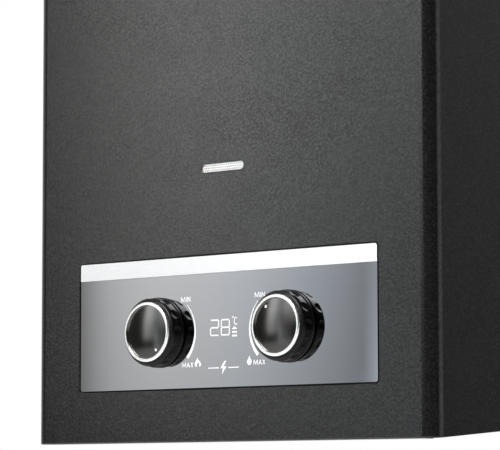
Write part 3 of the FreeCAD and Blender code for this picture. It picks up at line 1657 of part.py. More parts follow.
parts = {
    "front_cover": make_front_cover(),
    "back_plate": make_back_plate(),
    "top_plate": make_top_plate(),
    "bottom_plate": fuse([make_bottom_plate()] + make_hinge_ears()),
    "flue_cap": make_flue_cap(),
    "m4_screws": make_m4_screws(),
    "carry_handle": make_carry_handle(),
    "handle_grip": make_handle_grip(),
    "handle_brackets": make_handle_brackets(),
    "handle_clips": make_handle_clips(),
    "panel_glass": make_panel_glass(),
    "trim_strip": make_trim_strip(),
    "panel_carrier": make_panel_carrier(),
    "panel_nuts": make_panel_nuts(),
    "control_board": make_control_board(),
    "display_module": make_display_module(),
    "gas_knob_body": make_knob_body(-knob_x),
    "gas_knob_ring": make_knob_ring(-knob_x),
    "gas_knob_face": make_knob_face(-knob_x),
    "gas_spindle": make_spindle(-knob_x),
    "water_knob_body": make_knob_body(knob_x),
    "water_knob_ring": make_knob_ring(knob_x),
    "water_knob_face": make_knob_face(knob_x),
    "water_spindle": make_spindle(knob_x),
    "flame_window_mesh": make_flame_window_mesh(),
    "exchanger_shell": make_exchanger_shell(),
    "exchanger_fins": make_exchanger_fins(),
    "exchanger_tube": make_exchanger_tube(),
    "coil_tube": make_coil_tube(),
    "draft_hood": make_draft_hood(),
    "burner_frame": make_burner_frame(),
    "burner_bars": make_burner_bars(),
    "gas_manifold": make_gas_manifold(),
    "gas_jets": make_gas_jets(),
    "gas_valve_body": make_gas_valve_body(),
    "gas_solenoid": make_gas_solenoid(),
    "solenoid_plunger": make_solenoid_plunger(),
    "gas_inlet_stub": make_stub(-knob_x, gas_stub_y, up(valve_rise)),
    "water_valve_body": make_water_valve_body(),
    "diaphragm_cover": make_diaphragm_cover(),
    "diaphragm": make_diaphragm(),
    "push_rod": make_push_rod(),
    "microswitch": make_microswitch(),
    "microswitch_lever": make_microswitch_lever(),
    "cold_inlet_stub": make_stub(cold_stub_x, cold_stub_y, up(valve_rise)),
    "inlet_filter": make_inlet_filter(),
    "cold_pipe": make_cold_pipe(),
    "hot_pipe": make_hot_pipe(),
    "hot_outlet_stub": make_stub(hot_stub_x, hot_stub_y, up(valve_rise)),
    "stub_locknuts": make_stub_locknuts(),
    "drain_tap_body": make_drain_tap_body(),
    "drain_tap_lever": make_drain_tap_lever(),
    "igniter_box": make_igniter_box(),
    "ignition_electrodes": make_ignition_electrodes(),
    "overheat_switch": make_overheat_switch(),
    "battery_box": make_battery_box(),
    "battery_lid": make_battery_lid(),
    "batteries": make_batteries(),
    "battery_contacts": make_battery_contacts(),
    "wiring": make_wiring(),
}

os.makedirs("parts", exist_ok=True)
for name, shape in parts.items():
    shape.exportStep(f"parts/{name}.step")
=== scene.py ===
import json
import math

import bpy
from mathutils import Matrix, Vector


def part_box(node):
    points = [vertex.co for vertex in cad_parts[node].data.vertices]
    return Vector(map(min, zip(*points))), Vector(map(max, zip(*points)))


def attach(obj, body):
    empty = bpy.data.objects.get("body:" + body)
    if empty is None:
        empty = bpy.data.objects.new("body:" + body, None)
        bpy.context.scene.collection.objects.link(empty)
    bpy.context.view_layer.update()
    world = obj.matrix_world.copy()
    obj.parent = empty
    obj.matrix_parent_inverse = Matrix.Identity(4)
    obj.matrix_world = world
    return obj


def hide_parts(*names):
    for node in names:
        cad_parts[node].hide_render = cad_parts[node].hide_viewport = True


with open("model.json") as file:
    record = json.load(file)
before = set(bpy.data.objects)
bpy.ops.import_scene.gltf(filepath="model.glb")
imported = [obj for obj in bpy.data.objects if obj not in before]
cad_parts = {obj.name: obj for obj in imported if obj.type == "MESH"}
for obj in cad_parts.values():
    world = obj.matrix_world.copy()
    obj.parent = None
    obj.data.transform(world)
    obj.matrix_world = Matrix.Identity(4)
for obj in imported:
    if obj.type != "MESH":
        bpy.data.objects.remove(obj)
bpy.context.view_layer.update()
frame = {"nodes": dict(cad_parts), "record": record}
nodes = frame["nodes"]
scene = bpy.context.scene
MM = 0.001

# ---------------------------------------------------------------- places, in metres
case_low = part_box("front_cover")[0]
glass_low, glass_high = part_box("panel_glass")
ring_low, ring_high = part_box("water_knob_ring")
case_bottom = case_low.z
print_y = glass_low.y - 0.02 * MM  # ink lies this far proud of the glass
LAYER = 0.004 * MM                 # each stroke lies this far over the one before it

# ---------------------------------------------------------------- places, in mm as the print counts them
knob_across = (ring_low.x + ring_high.x) / 2 / MM                  # of each knob's axis from the middle
knob_rise = ((ring_low.z + ring_high.z) / 2 - case_bottom) / MM    # of both axes over the case's lower edge


def up(rise):
    """Height of a place that many mm above the case's lower front edge."""
    return case_bottom + rise * MM


# ---------------------------------------------------------------- camera
CAMERA_PLACE = Vector((0.95958, -1.24854, -0.48563))
YAW = math.radians(40.14)
PITCH = math.radians(5.70)
ROLL = math.radians(-0.106)
SENSOR_WIDTH = 36
FOCAL_LENGTH = 189.75


def place_camera():
    """Camera solved from the edges of the case, the panel and the knobs in the photo."""
    look = Vector((-math.sin(YAW) * math.cos(PITCH), math.cos(YAW) * math.cos(PITCH), math.sin(PITCH)))
    right = Vector((math.cos(YAW), math.sin(YAW), 0))
    above = right.cross(look)
    camera_x = right * math.cos(ROLL) + above * math.sin(ROLL)
    camera_y = above * math.cos(ROLL) - right * math.sin(ROLL)
    turn = Matrix((camera_x, camera_y, -look)).transposed().to_4x4()
    data = bpy.data.cameras.new("camera")
    data.sensor_width = SENSOR_WIDTH
    data.lens = FOCAL_LENGTH
    data.clip_start = 0.05
    data.clip_end = 50
    camera = bpy.data.objects.new("camera", data)
    scene.collection.objects.link(camera)
    camera.matrix_world = Matrix.Translation(CAMERA_PLACE) @ turn
    scene.camera = camera


place_camera()
scene.view_settings.view_transform = "Standard"


# ---------------------------------------------------------------- node helpers
def new_material(name):
    """New material, its node tree and its shader."""
    material = bpy.data.materials.new(name)
    material.use_nodes = True
    tree = material.node_tree
    return material, tree, tree.nodes["Principled BSDF"]


def set_plain(shader, **values):
    """Numbers that are the same all over go straight on the shader's sockets."""
    for key, value in values.items():
        shader.inputs[key.replace("_", " ")].default_value = value


def add(tree, kind, **values):
    """New node, with its inputs or its settings given by name."""
    node = tree.nodes.new(kind)
    for key, value in values.items():
        if key in node.inputs:
            node.inputs[key].default_value = value
        else:
            setattr(node, key, value)
    return node


def plug(tree, socket, term):
    """Gives a node's input its term, which is a number or another node's output."""
    if isinstance(term, (int, float)):
        socket.default_value = term
    else:
        tree.links.new(term, socket)


def maths(tree, operation, first, second):
    """Result of a math node with two terms."""
    node = add(tree, "ShaderNodeMath", operation=operation)
    plug(tree, node.inputs[0], first)
    plug(tree, node.inputs[1], second)
    return node.outputs[0]


def blend(tree, share, first, second):
    """Goes from the first term to the second as the share goes from 0 to 1."""
    node = add(tree, "ShaderNodeMix", data_type="FLOAT")
    tree.links.new(share, node.inputs["Factor"])
    plug(tree, node.inputs["A"], first)
    plug(tree, node.inputs["B"], second)
    return node.outputs["Result"]


def noise(tree, scale, detail=2.0, roughness=0.5, stretch=None):
    """3D noise that is fixed to the object, stretched along an axis if asked."""
    coord = add(tree, "ShaderNodeTexCoord")
    node = add(tree, "ShaderNodeTexNoise", Scale=scale, Detail=detail, Roughness=roughness)
    place = coord.outputs["Object"]
    if stretch:
        mapping = add(tree, "ShaderNodeMapping", Scale=stretch)
        tree.links.new(place, mapping.inputs["Vector"])
        place = mapping.outputs["Vector"]
    tree.links.new(place, node.inputs["Vector"])
    return node.outputs["Fac"]


def ramp(tree, fac, stops):
    """Colour that follows a number through stops of (position, colour)."""
    node = add(tree, "ShaderNodeValToRGB")
    elements = node.color_ramp.elements
    while len(elements) > 1:
        elements.remove(elements[-1])
    first_position, first_colour = stops[0]
    elements[0].position = first_position
    elements[0].color = (*first_colour, 1)
    for position, colour in stops[1:]:
        elements.new(position).color = (*colour, 1)
    tree.links.new(fac, node.inputs["Fac"])
    return node.outputs["Color"]


def vary(tree, fac, low, high, fac_low=0.3, fac_high=0.7):
    """Number that goes from low to high as a noise goes from fac_low to fac_high."""
    node = add(tree, "ShaderNodeMapRange")
    node.inputs["From Min"].default_value = fac_low
    node.inputs["From Max"].default_value = fac_high
    node.inputs["To Min"].default_value = low
    node.inputs["To Max"].default_value = high
    tree.links.new(fac, node.inputs["Value"])
    return node.outputs["Result"]


def bump(tree, shader, height, strength, distance=0.1 * MM):
    """Fine relief of that depth."""
    node = add(tree, "ShaderNodeBump", Strength=strength, Distance=distance)
    tree.links.new(height, node.inputs["Height"])
    tree.links.new(node.outputs["Normal"], shader.inputs["Normal"])


# ---------------------------------------------------------------- materials with a function of their own
def powder_coat():
    """Black powder coat with a fine sandy grain and faint bright flecks."""
    material, tree, shader = new_material("powder_coat")
    set_plain(shader, Metallic=0.0, IOR=1.5, Specular_Tint=(1.0, 0.985, 0.965, 1))
    grain = noise(tree, 950, 5, 0.7)
    pit, coat, fleck = (0.003, 0.003, 0.0031), (0.006, 0.006, 0.0061), (0.024, 0.024, 0.0244)
    tree.links.new(ramp(tree, grain, [(0.30, pit), (0.5, coat), (0.72, fleck)]), shader.inputs["Base Color"])
    tree.links.new(vary(tree, grain, 0.33, 0.72, 0.34, 0.66), shader.inputs["Specular IOR Level"])
    tree.links.new(vary(tree, noise(tree, 45, 3), 0.155, 0.19), shader.inputs["Roughness"])
    bump(tree, shader, noise(tree, 1100, 3, 0.6), 0.16, 0.2 * MM)
    return material


def smoked_mirror():
    """Smoked mirror glass, a little colder towards the right end; that colder tint is a painted reflection
    of cold light.
    """
    material, tree, shader = new_material("smoked_mirror")
    set_plain(shader, Metallic=1.0)
    coord = add(tree, "ShaderNodeTexCoord")
    split = add(tree, "ShaderNodeSeparateXYZ")
    tree.links.new(coord.outputs["Object"], split.inputs["Vector"])
    along = vary(tree, split.outputs["X"], 0.0, 1.0, glass_low.x, glass_high.x)
    # painted reflection: the base colour turns bluer along X towards the right end, standing for cold light
    # mirrored there
    neutral, cold = (0.242, 0.245, 0.248), (0.242, 0.246, 0.257)
    tree.links.new(ramp(tree, along, [(0.0, neutral), (1.0, cold)]), shader.inputs["Base Color"])
    tree.links.new(vary(tree, noise(tree, 40, 2), 0.03, 0.045), shader.inputs["Roughness"])
    return material


def knob_face():
    """Black lacquered disc with faint clouds in its gloss."""
    material, tree, shader = new_material("knob_face")
    set_plain(shader, Metallic=1.0)
    fac = noise(tree, 120, 3)
    dark, light = (0.108, 0.106, 0.102), (0.119, 0.117, 0.112)
    tree.links.new(ramp(tree, fac, [(0.3, dark), (0.7, light)]), shader.inputs["Base Color"])
    tree.links.new(vary(tree, fac, 0.12, 0.15), shader.inputs["Roughness"])
    return material


def copper():
    """Copper with brown stains from heat."""
    material, tree, shader = new_material("copper")
    set_plain(shader, Metallic=1.0)
    fac = noise(tree, 60, 5, 0.6)
    burnt, warm = (0.36, 0.17, 0.10), (0.72, 0.38, 0.26)
    clean, dull = (0.82, 0.47, 0.33), (0.55, 0.28, 0.20)
    colour = ramp(tree, fac, [(0.30, burnt), (0.48, warm), (0.62, clean), (0.8, dull)])
    tree.links.new(colour, shader.inputs["Base Color"])
    tree.links.new(vary(tree, fac, 0.22, 0.42), shader.inputs["Roughness"])
    return material


def ink():
    """White screen print."""
    material, tree, shader = new_material("white_ink")
    set_plain(shader, Specular_IOR_Level=0.2, Roughness=0.5)
    thin, full = (0.90, 0.90, 0.91), (0.95, 0.95, 0.95)
    colour = ramp(tree, noise(tree, 900, 2), [(0.3, thin), (0.7, full)])
    tree.links.new(colour, shader.inputs["Base Color"])
    return material


def circuit():
    """Green solder mask with paler copper runs under it."""
    material, tree, shader = new_material("circuit_board")
    set_plain(shader, Specular_IOR_Level=0.5, Roughness=0.35)
    mask, run = (0.012, 0.075, 0.03), (0.03, 0.16, 0.06)
    fac = noise(tree, 260, 0, 0.5, (1, 1, 4))
    colour = ramp(tree, fac, [(0.44, mask), (0.47, run), (0.53, run), (0.56, mask)])
    tree.links.new(colour, shader.inputs["Base Color"])
    return material


# ---------------------------------------------------------------- materials of two common kinds
def bright_metal(name, colour, rough, scale=300, stretch=None, dent=0.05):
    """Bright metal whose gloss varies between two values, with faint brushing."""
    material, tree, shader = new_material(name)
    set_plain(shader, Metallic=1.0)
    fac = noise(tree, scale, 4, 0.6, stretch)
    tone = [c * 0.93 for c in colour]
    tree.links.new(ramp(tree, fac, [(0.3, tone), (0.7, colour)]), shader.inputs["Base Color"])
    tree.links.new(vary(tree, fac, *rough), shader.inputs["Roughness"])
    bump(tree, shader, fac, dent)
    return material


def moulded(name, colour, rough, specular=0.4, scale=2500, dent=0.08):
    """Moulded plastic or rubber with a fine spark-eroded grain."""
    material, tree, shader = new_material(name)
    set_plain(shader, Metallic=0.0, Specular_IOR_Level=specular)
    fac = noise(tree, scale, 2)
    low = [c * 0.85 for c in colour]
    high = [min(1.0, c * 1.15) for c in colour]
    tree.links.new(ramp(tree, fac, [(0.3, low), (0.7, high)]), shader.inputs["Base Color"])
    tree.links.new(vary(tree, fac, rough - 0.04, rough + 0.04), shader.inputs["Roughness"])
    bump(tree, shader, fac, dent)
    return material


ALONG_X = (1, 14, 14)        # noise drawn out along X
ALONG_STRIP = (0.2, 1, 1)    # noise drawn out along the trim strip


def metals():
    return {
        "black_screws": bright_metal("black_oxide", (0.055, 0.055, 0.058), (0.30, 0.42), scale=800),
        "spring_steel": bright_metal("spring_steel", (0.50, 0.50, 0.52), (0.22, 0.34)),
        "bright_trim": bright_metal(
            "bright_trim", (0.90, 0.90, 0.895), (0.39, 0.41), scale=2500, stretch=ALONG_STRIP, dent=0.0),
        "zinc_steel": bright_metal("zinc_steel", (0.60, 0.61, 0.62), (0.28, 0.42), scale=120),
        "knob_ring_chrome": bright_metal(
            "knob_chrome", (0.96, 0.96, 0.955), (0.20, 0.28), scale=800, dent=0.02),
        "steel_shaft": bright_metal(
            "steel_shaft", (0.56, 0.56, 0.57), (0.20, 0.30), scale=500, stretch=ALONG_X),
        "stainless_mesh": bright_metal("stainless_mesh", (0.90, 0.89, 0.86), (0.20, 0.30), scale=900),
        "copper": copper(),
        "galvanised_sheet": bright_metal("galvanised", (0.60, 0.62, 0.64), (0.30, 0.50), scale=70),
        "stainless_burner": bright_metal("burner_steel", (0.55, 0.50, 0.44), (0.25, 0.40), scale=90),
        "cast_aluminium": bright_metal(
            "cast_aluminium", (0.62, 0.62, 0.62), (0.38, 0.52), scale=900, dent=0.25),
        "brass": bright_metal("brass", (0.80, 0.60, 0.27), (0.18, 0.30), scale=400),
        "cell_jacket": bright_metal("cell_jacket", (0.10, 0.22, 0.50), (0.25, 0.35), scale=200),
    }


def plastics_and_coats():
    return {
        "black_powder_coat": powder_coat(),
        "handle_steel": moulded(
            "coated_rod", (0.035, 0.036, 0.037), 0.36, specular=0.5, scale=1800, dent=0.12),
        "grip_rubber": moulded(
            "grip_rubber", (0.022, 0.022, 0.023), 0.62, specular=0.25, scale=1500, dent=0.25),
        "smoked_mirror": smoked_mirror(),
        "black_plastic": moulded("black_plastic", (0.020, 0.020, 0.021), 0.45),
        "circuit_board": circuit(),
        "display_black": moulded("display_black", (0.012, 0.012, 0.013), 0.15, specular=0.5),
        "knob_black": moulded("knob_black", (0.002, 0.002, 0.0023), 0.30, specular=0.22, dent=0.0),
        "knob_face_black": knob_face(),
        "diaphragm_rubber": moulded("diaphragm_rubber", (0.020, 0.020, 0.020), 0.6, specular=0.2),
        "red_plastic": moulded("red_plastic", (0.45, 0.03, 0.02), 0.38),
        "ceramic_white": moulded("ceramic", (0.80, 0.79, 0.75), 0.22, specular=0.5),
        "switch_bakelite": moulded("bakelite", (0.06, 0.035, 0.022), 0.35),
        "wire_silicone": moulded("silicone", (0.50, 0.07, 0.05), 0.5, specular=0.3),
    }


finish = {**metals(), **plastics_and_coats()}
for piece in frame["record"]["subparts"]:
    for place in nodes[piece["node"]].material_slots:
        place.material = finish[piece["material_slot"]]
white_ink = ink()


# ---------------------------------------------------------------- mesh helpers
def piece_from(name, verts, faces, material, body, smooth=False):
    """New piece that rides a body, with the material that is given."""
    mesh = bpy.data.meshes.new(name)
    mesh.from_pydata(verts, [], faces)
    mesh.update()
    obj = bpy.data.objects.new(name, mesh)
    scene.collection.objects.link(obj)
    mesh.materials.append(material)
    if smooth:
        mesh.shade_smooth()
    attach(obj, body)
    return obj


def circle_angles(count):
    """Angles of that many points, even all the way round."""
    return [2 * math.pi * k / count for k in range(count)]


# ---------------------------------------------------------------- printing on the glass, in mm
SHARPEST_MITRE = 0.75      # cosine that limits how far a stroke's corner reaches out


class Print:
    """Flat marks on a plane that faces the front; x and rise are in mm."""

    def __init__(self):
        self.verts, self.faces = [], []
        self.level = print_y

    def face(self, points):
        first = len(self.verts)
        self.verts += [(x * MM, self.level, up(rise)) for x, rise in points]
        self.faces.append(list(range(first, first + len(points))))

    def area(self, points):
        """Filled outline."""
        self.face(points)
        self.level -= LAYER

    def line(self, points, width, closed=False):
        """Stroke of one width with mitred corners."""
        count = len(points)
        left, right = [], []
        for k, point in enumerate(points):
            here = Vector(point)
            ways = []
            if k or closed:
                ways.append((here - Vector(points[k - 1])).normalized())
            if k < count - 1 or closed:
                ways.append((Vector(points[(k + 1) % count]) - here).normalized())
            way = sum(ways, Vector((0, 0))).normalized()
            across = Vector((-way.y, way.x))
            mitre = across.dot(Vector((-ways[0].y, ways[0].x)))
            reach = width / 2 / max(SHARPEST_MITRE, mitre)
            left.append(here + across * reach)
            right.append(here - across * reach)
        for k in range(count if closed else count - 1):
            n = (k + 1) % count
            self.face([right[k], right[n], left[n], left[k]])
        self.level -= LAYER

    def finish(self, name):
        return piece_from(name, self.verts, self.faces, white_ink, "case")


# strokes of each letter, in a square from (0, 0) to (1, 1), and how wide the letter is
LETTERS = {
    "M": [[(0, 0), (0.06, 1)], [(0.06, 1), (0.5, 0.1)], [(0.5, 0.1), (0.94, 1)], [(0.94, 1), (1, 0)]],
    "I": [[(0, 0), (0, 1)]],
    "N": [[(0, 0), (0, 1)], [(0, 1), (1, 0)], [(1, 0), (1, 1)]],
    "A": [[(0, 0), (0.5, 1)], [(0.5, 1), (1, 0)], [(0.2, 0.33), (0.8, 0.33)]],
    "X": [[(0, 0), (1, 1)], [(0, 1), (1, 0)]],
}
LETTER_WIDTHS = {"M": 1.35, "I": 0.0, "N": 0.85, "A": 0.95, "X": 0.85}
LETTER_GAP = 0.42
LETTER_WEIGHT = 0.50


def word(mark, text, x0, x1, rise0, rise1):
    """Generic control word, fitted between two x and two heights."""
    total = sum(LETTER_WIDTHS[c] for c in text) + LETTER_GAP * (len(text) - 1)
    scale = (x1 - x0 - LETTER_WEIGHT) / total
    height = rise1 - rise0
    x = x0 + LETTER_WEIGHT / 2
    for c in text:
        width = LETTER_WIDTHS[c] * scale
        for stroke in LETTERS[c]:
            mark.line([(x + u * width, rise0 + v * height) for u, v in stroke], LETTER_WEIGHT)
        x += width + LETTER_GAP * scale


DIAL_RADIUS = 21.75        # of the arc beside each knob
DIAL_SHIFT = 5.5           # of the arc's centre from the knob's axis, towards the display
DIAL_HALF_SWEEP = 43.5     # degrees above and below the axis
DIAL_STEPS = 40
DIAL_HALF_WIDTH = (0.17, 0.97)    # at the top and at the bottom
DIAL_TAPER = 1.2           # over 1, so that the arc widens most near the bottom
# word, its left and right end, its lower and upper edge
DIAL_WORDS = (
    ("MIN", -31.0, -23.7, 79.1, 82.0),
    ("MIN", 23.7, 31.1, 79.3, 82.15),
    ("MAX", -30.0, -21.4, 42.2, 44.85),
    ("MAX", 22.85, 31.45, 42.1, 44.75),
)


def dial_arc(mark, side):
    """Arc beside a knob, on the side of the display, from thin at the top to wide at the bottom."""
    centre_x = side * (knob_across - DIAL_SHIFT)
    thin, wide = DIAL_HALF_WIDTH
    outer, inner = [], []
    for k in range(DIAL_STEPS + 1):
        t = k / DIAL_STEPS
        a = math.radians(DIAL_HALF_SWEEP * (1 - 2 * t))
        half = thin + (wide - thin) * t ** DIAL_TAPER
        for edge, r in ((outer, DIAL_RADIUS + half), (inner, DIAL_RADIUS - half)):
            edge.append((centre_x - side * r * math.cos(a), knob_rise + r * math.sin(a)))
    for k in range(DIAL_STEPS):
        mark.face([outer[k], outer[k + 1], inner[k + 1], inner[k]])


def dial_marks():
    """Arc and end words of both dials."""
    mark = Print()
    dial_arc(mark, -1)
    dial_arc(mark, 1)
    for placed_word in DIAL_WORDS:
        word(mark, *placed_word)
    return mark.finish("dial_marks")


def smooth_loop(points, steps):
    """Closed Catmull-Rom curve through the points."""
    out = []
    count = len(points)
    for k in range(count):
        p0, p1, p2, p3 = (Vector(points[(k + j - 1) % count]) for j in range(4))
        linear = p2 - p0
        square = 2 * p0 - 5 * p1 + 4 * p2 - p3
        cube = 3 * p1 - p0 - 3 * p2 + p3
        for s in range(steps):
            t = s / steps
            out.append(0.5 * (2 * p1 + linear * t + square * t * t + cube * t ** 3))
    return out


FLAME = [
    (-18.5, 47.3), (-17.6, 45.9), (-16.6, 45.2), (-15.75, 43.8), (-16.4, 42.5), (-17.2, 42.3), (-17.0, 43.3),
    (-17.9, 44.6), (-18.9, 43.4), (-18.7, 42.3), (-19.8, 42.6), (-20.5, 43.9), (-19.9, 45.2), (-19.1, 46.0),
]
DROP = [
    (19.75, 47.3), (20.3, 46.0), (21.3, 44.4), (21.35, 43.2), (20.6, 42.3),
    (19.75, 42.06), (18.9, 42.3), (18.15, 43.2), (18.2, 44.4), (19.2, 46.0),
]


def flame_and_drop():
    """Signs for gas and water beside the lower ends of the dials."""
    mark = Print()
    mark.area(smooth_loop(FLAME, 4))
    mark.area(smooth_loop(DROP, 4))
    return mark.finish("flame_and_drop")


SEGMENT_WEIGHT = 0.72
SEGMENT_GAP = 0.22         # between a segment's end and the corner of the figure
FIGURE_LOW, FIGURE_HIGH = 59.05, 68.29


def figure(mark, x0, x1, lit):
    """Seven-segment figure between two x, with the segments a to g that are lit."""
    half = SEGMENT_WEIGHT / 2
    left, right = x0 + half, x1 - half
    bottom, top = FIGURE_LOW + half, FIGURE_HIGH - half
    middle = (FIGURE_LOW + FIGURE_HIGH) / 2
    ends = {
        "a": ((left, top), (right, top)),
        "b": ((right, top), (right, middle)),
        "c": ((right, middle), (right, bottom)),
        "d": ((left, bottom), (right, bottom)),
        "e": ((left, middle), (left, bottom)),
        "f": ((left, top), (left, middle)),
        "g": ((left, middle), (right, middle)),
    }
    for key in lit:
        start, end = (Vector(p) for p in ends[key])
        inset = (end - start).normalized() * SEGMENT_GAP
        mark.line([start + inset, end - inset], SEGMENT_WEIGHT)


def ellipse(x, rise, half_width, half_height, angles):
    """Points of an ellipse at those angles."""
    return [(x + half_width * math.cos(a), rise + half_height * math.sin(a)) for a in angles]


def degree_sign(mark):
    """Small ring and a C that is open to the right."""
    ring = ellipse(x=7.95, rise=69.1, half_width=0.5, half_height=0.5, angles=circle_angles(14))
    mark.line(ring, width=0.3, closed=True)
    sweep = [math.radians(52 + 256 * k / 18) for k in range(19)]
    letter = ellipse(x=10.15, rise=66.95, half_width=1.35, half_height=1.9, angles=sweep)
    mark.line(letter, width=0.6)


def level_icon(mark):
    """Triangle over two bars."""
    mark.area([(7.1, 62.4), (11.05, 62.4), (9.08, 64.1)])
    left, right = 7.3, 10.9
    for low, high in ((60.35, 61.3), (58.3, 59.25)):
        mark.area([(left, low), (right, low), (right, high), (left, high)])


def read_out():
    """Plain two-figure number with a degree sign and a level icon, as on any thermometer."""
    mark = Print()
    figure(mark, -8.97, -2.35, "abged")
    figure(mark, -1.05, 5.58, "abcdefg")
    degree_sign(mark)
    level_icon(mark)
    return mark.finish("read_out")


BOLT = [(1.7, 45.0), (-1.5, 40.9), (0.5, 40.9), (-0.3, 37.4), (3.1, 41.9), (1.1, 41.9), (2.9, 45.0)]
BOLT_LINES = ((-10.4, -2.6), (4.2, 12.1))
BOLT_LINE_RISE, BOLT_LINE_WEIGHT = 41.2, 0.5


def spark_mark():
    """Generic spark sign between two thin lines."""
    mark = Print()
    mark.area(BOLT)
    for x0, x1 in BOLT_LINES:
        mark.line([(x0, BOLT_LINE_RISE), (x1, BOLT_LINE_RISE)], BOLT_LINE_WEIGHT)
    return mark.finish("spark_mark")


dial_marks()
flame_and_drop()
read_out()
spark_mark()


# ---------------------------------------------------------------- knobs
RING_INNER = 15.25 * MM
RING_FLAT = (RING_INNER + 0.14 * MM, RING_INNER + 0.84 * MM)    # radii of the flat front
RING_INNER_EDGE = 0.30 * MM    # depth of the rounding on the inside
RING_OUTER_EDGE = 0.95 * MM    # depth of the rounding on the outside
RING_BACK_BEVEL = (0.15 * MM, 0.2 * MM)    # radially and along the axis
RING_INNER_STEPS, RING_OUTER_STEPS = 4, 7
RING_TEETH = 110
NOTCH_DEPTH = 0.16 * MM
NOTCH = (0, 0.55, 1, 0.55)     # share of the depth, from one tooth to the next


def ring_profile(outer, front, back):
    """Section of a knob's ring: radius, y and how deep the knurl cuts there."""
    flat_low, flat_high = RING_FLAT
    bevel_in, bevel_along = RING_BACK_BEVEL
    profile = [(RING_INNER, back, 0)]
    for k in range(RING_INNER_STEPS + 1):
        a = math.radians(90 * k / RING_INNER_STEPS)
        radius = flat_low - (flat_low - RING_INNER) * math.cos(a)
        profile.append((radius, front + RING_INNER_EDGE * (1 - math.sin(a)), 0))
    for k in range(RING_OUTER_STEPS + 1):
        t = k / RING_OUTER_STEPS
        a = math.radians(90 * t)
        radius = flat_high + (outer - flat_high) * math.sin(a)
        profile.append((radius, front + RING_OUTER_EDGE * (1 - math.cos(a)), t ** 3))
    profile.append((outer, back - bevel_along, 1))
    profile.append((outer - bevel_in, back, 0.3))
    return profile


def knurled_ring(name, node, body):
    """Chrome ring with a finely knurled edge."""
    low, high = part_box(node)
    cx, cz = (low.x + high.x) / 2, (low.z + high.z) / 2
    profile = ring_profile((high.x - low.x) / 2, low.y, high.y)
    rows = len(profile)
    count = RING_TEETH * len(NOTCH)
    verts, faces = [], []
    for k, a in enumerate(circle_angles(count)):
        notch = NOTCH_DEPTH * NOTCH[k % len(NOTCH)]
        for r, y, share in profile:
            radius = r - notch * share
            verts.append((cx + radius * math.sin(a), y, cz + radius * math.cos(a)))
    for k in range(count):
        n = (k + 1) % count
        for j in range(rows):
            m = (j + 1) % rows
            faces.append([k * rows + j, k * rows + m, n * rows + m, n * rows + j])
    obj = piece_from(name, verts, faces, finish["knob_ring_chrome"], body)
    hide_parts(node)
    return obj


FACE_CROWN = 1.2 * MM          # height of the domed face's middle over its rim
DOT_REACH = 12.5 * MM          # of the dot's middle from the knob's axis
DOT_POINTS = 24
DOT_TOP = 0.16 * MM            # height of the dot's middle over the face
DOT_RINGS = ((0.35, 0.14), (0.62, 0.08), (0.78, 0.02), (0.84, -0.05))  # radius, height over the face, mm


def pointer_dot(name, node, body, bearing):
    """White dot let into the knob's face; bearing is clockwise from the top."""
    low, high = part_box(node)
    cx, cz = (low.x + high.x) / 2, (low.z + high.z) / 2
    rim = (high.x - low.x) / 2
    sphere = (rim ** 2 + FACE_CROWN ** 2) / (2 * FACE_CROWN)
    a = math.radians(bearing)
    mx, mz = cx + DOT_REACH * math.sin(a), cz + DOT_REACH * math.cos(a)

    def face_y(x, z):
        reach = math.hypot(x - cx, z - cz)
        return low.y + sphere - math.sqrt(sphere ** 2 - reach ** 2)

    verts, faces = [(mx, face_y(mx, mz) - DOT_TOP, mz)], []
    for r, proud in DOT_RINGS:
        for t in circle_angles(DOT_POINTS):
            x, z = mx + r * MM * math.sin(t), mz + r * MM * math.cos(t)
            verts.append((x, face_y(x, z) - proud * MM, z))
    for k in range(DOT_POINTS):
        n = (k + 1) % DOT_POINTS
        faces.append([0, 1 + n, 1 + k])
        for j in range(len(DOT_RINGS) - 1):
            s = 1 + j * DOT_POINTS
            faces.append([s + k, s + n, s + DOT_POINTS + n, s + DOT_POINTS + k])
    return piece_from(name, verts, faces, white_ink, body, True)


knurled_ring("gas_knob_knurl", "gas_knob_ring", "gas_knob")
knurled_ring("water_knob_knurl", "water_knob_ring", "water_knob")
pointer_dot("gas_knob_dot", "gas_knob_face", "gas_knob", 146)
pointer_dot("water_knob_dot", "water_knob_face", "water_knob", -33)


# ---------------------------------------------------------------- floor and world
FLOOR_DROP = 0.55              # of the floor under the case
FLOOR_RADIUS = 7.0
FLOOR_POINTS = 96
FLOOR_GLOW = 0.62              # strength of the floor where it is seen or mirrored
DIM_STUDIO = 0.08              # level of the studio's dark side in gloss
BRIGHT_SIDE = Vector((-0.50, 0.60, 0.62))
DIFFUSE_FILL = 0.22


def seen_or_mirrored(tree):
    """Is 1 for the camera's own rays and for mirrored and refracted ones, and 0 for the others."""
    path = add(tree, "ShaderNodeLightPath")
    level = 0.0
    for kind in ("Is Glossy Ray", "Is Transmission Ray", "Is Camera Ray"):
        level = maths(tree, "ADD", path.outputs[kind], level)
    return level


def stage_floor():
    """Pale floor that takes the object's shadow and glows where it is seen or mirrored."""
    material, tree, shader = new_material("floor")
    set_plain(shader, Roughness=0.8)
    dull, clean = (0.84, 0.84, 0.84), (0.87, 0.87, 0.87)
    pale = ramp(tree, noise(tree, 3, 3), [(0.3, dull), (0.7, clean)])
    glow = maths(tree, "MULTIPLY", seen_or_mirrored(tree), FLOOR_GLOW)
    tree.links.new(pale, shader.inputs["Base Color"])
    tree.links.new(pale, shader.inputs["Emission Color"])
    tree.links.new(glow, shader.inputs["Emission Strength"])
    level = case_bottom - FLOOR_DROP
    angles = circle_angles(FLOOR_POINTS)
    rim = [(FLOOR_RADIUS * math.cos(a), FLOOR_RADIUS * math.sin(a), level) for a in angles]
    mesh = bpy.data.meshes.new("floor")
    mesh.from_pydata(rim, [], [list(range(len(rim)))])
    mesh.materials.append(material)
    obj = bpy.data.objects.new("floor", mesh)
    scene.collection.objects.link(obj)


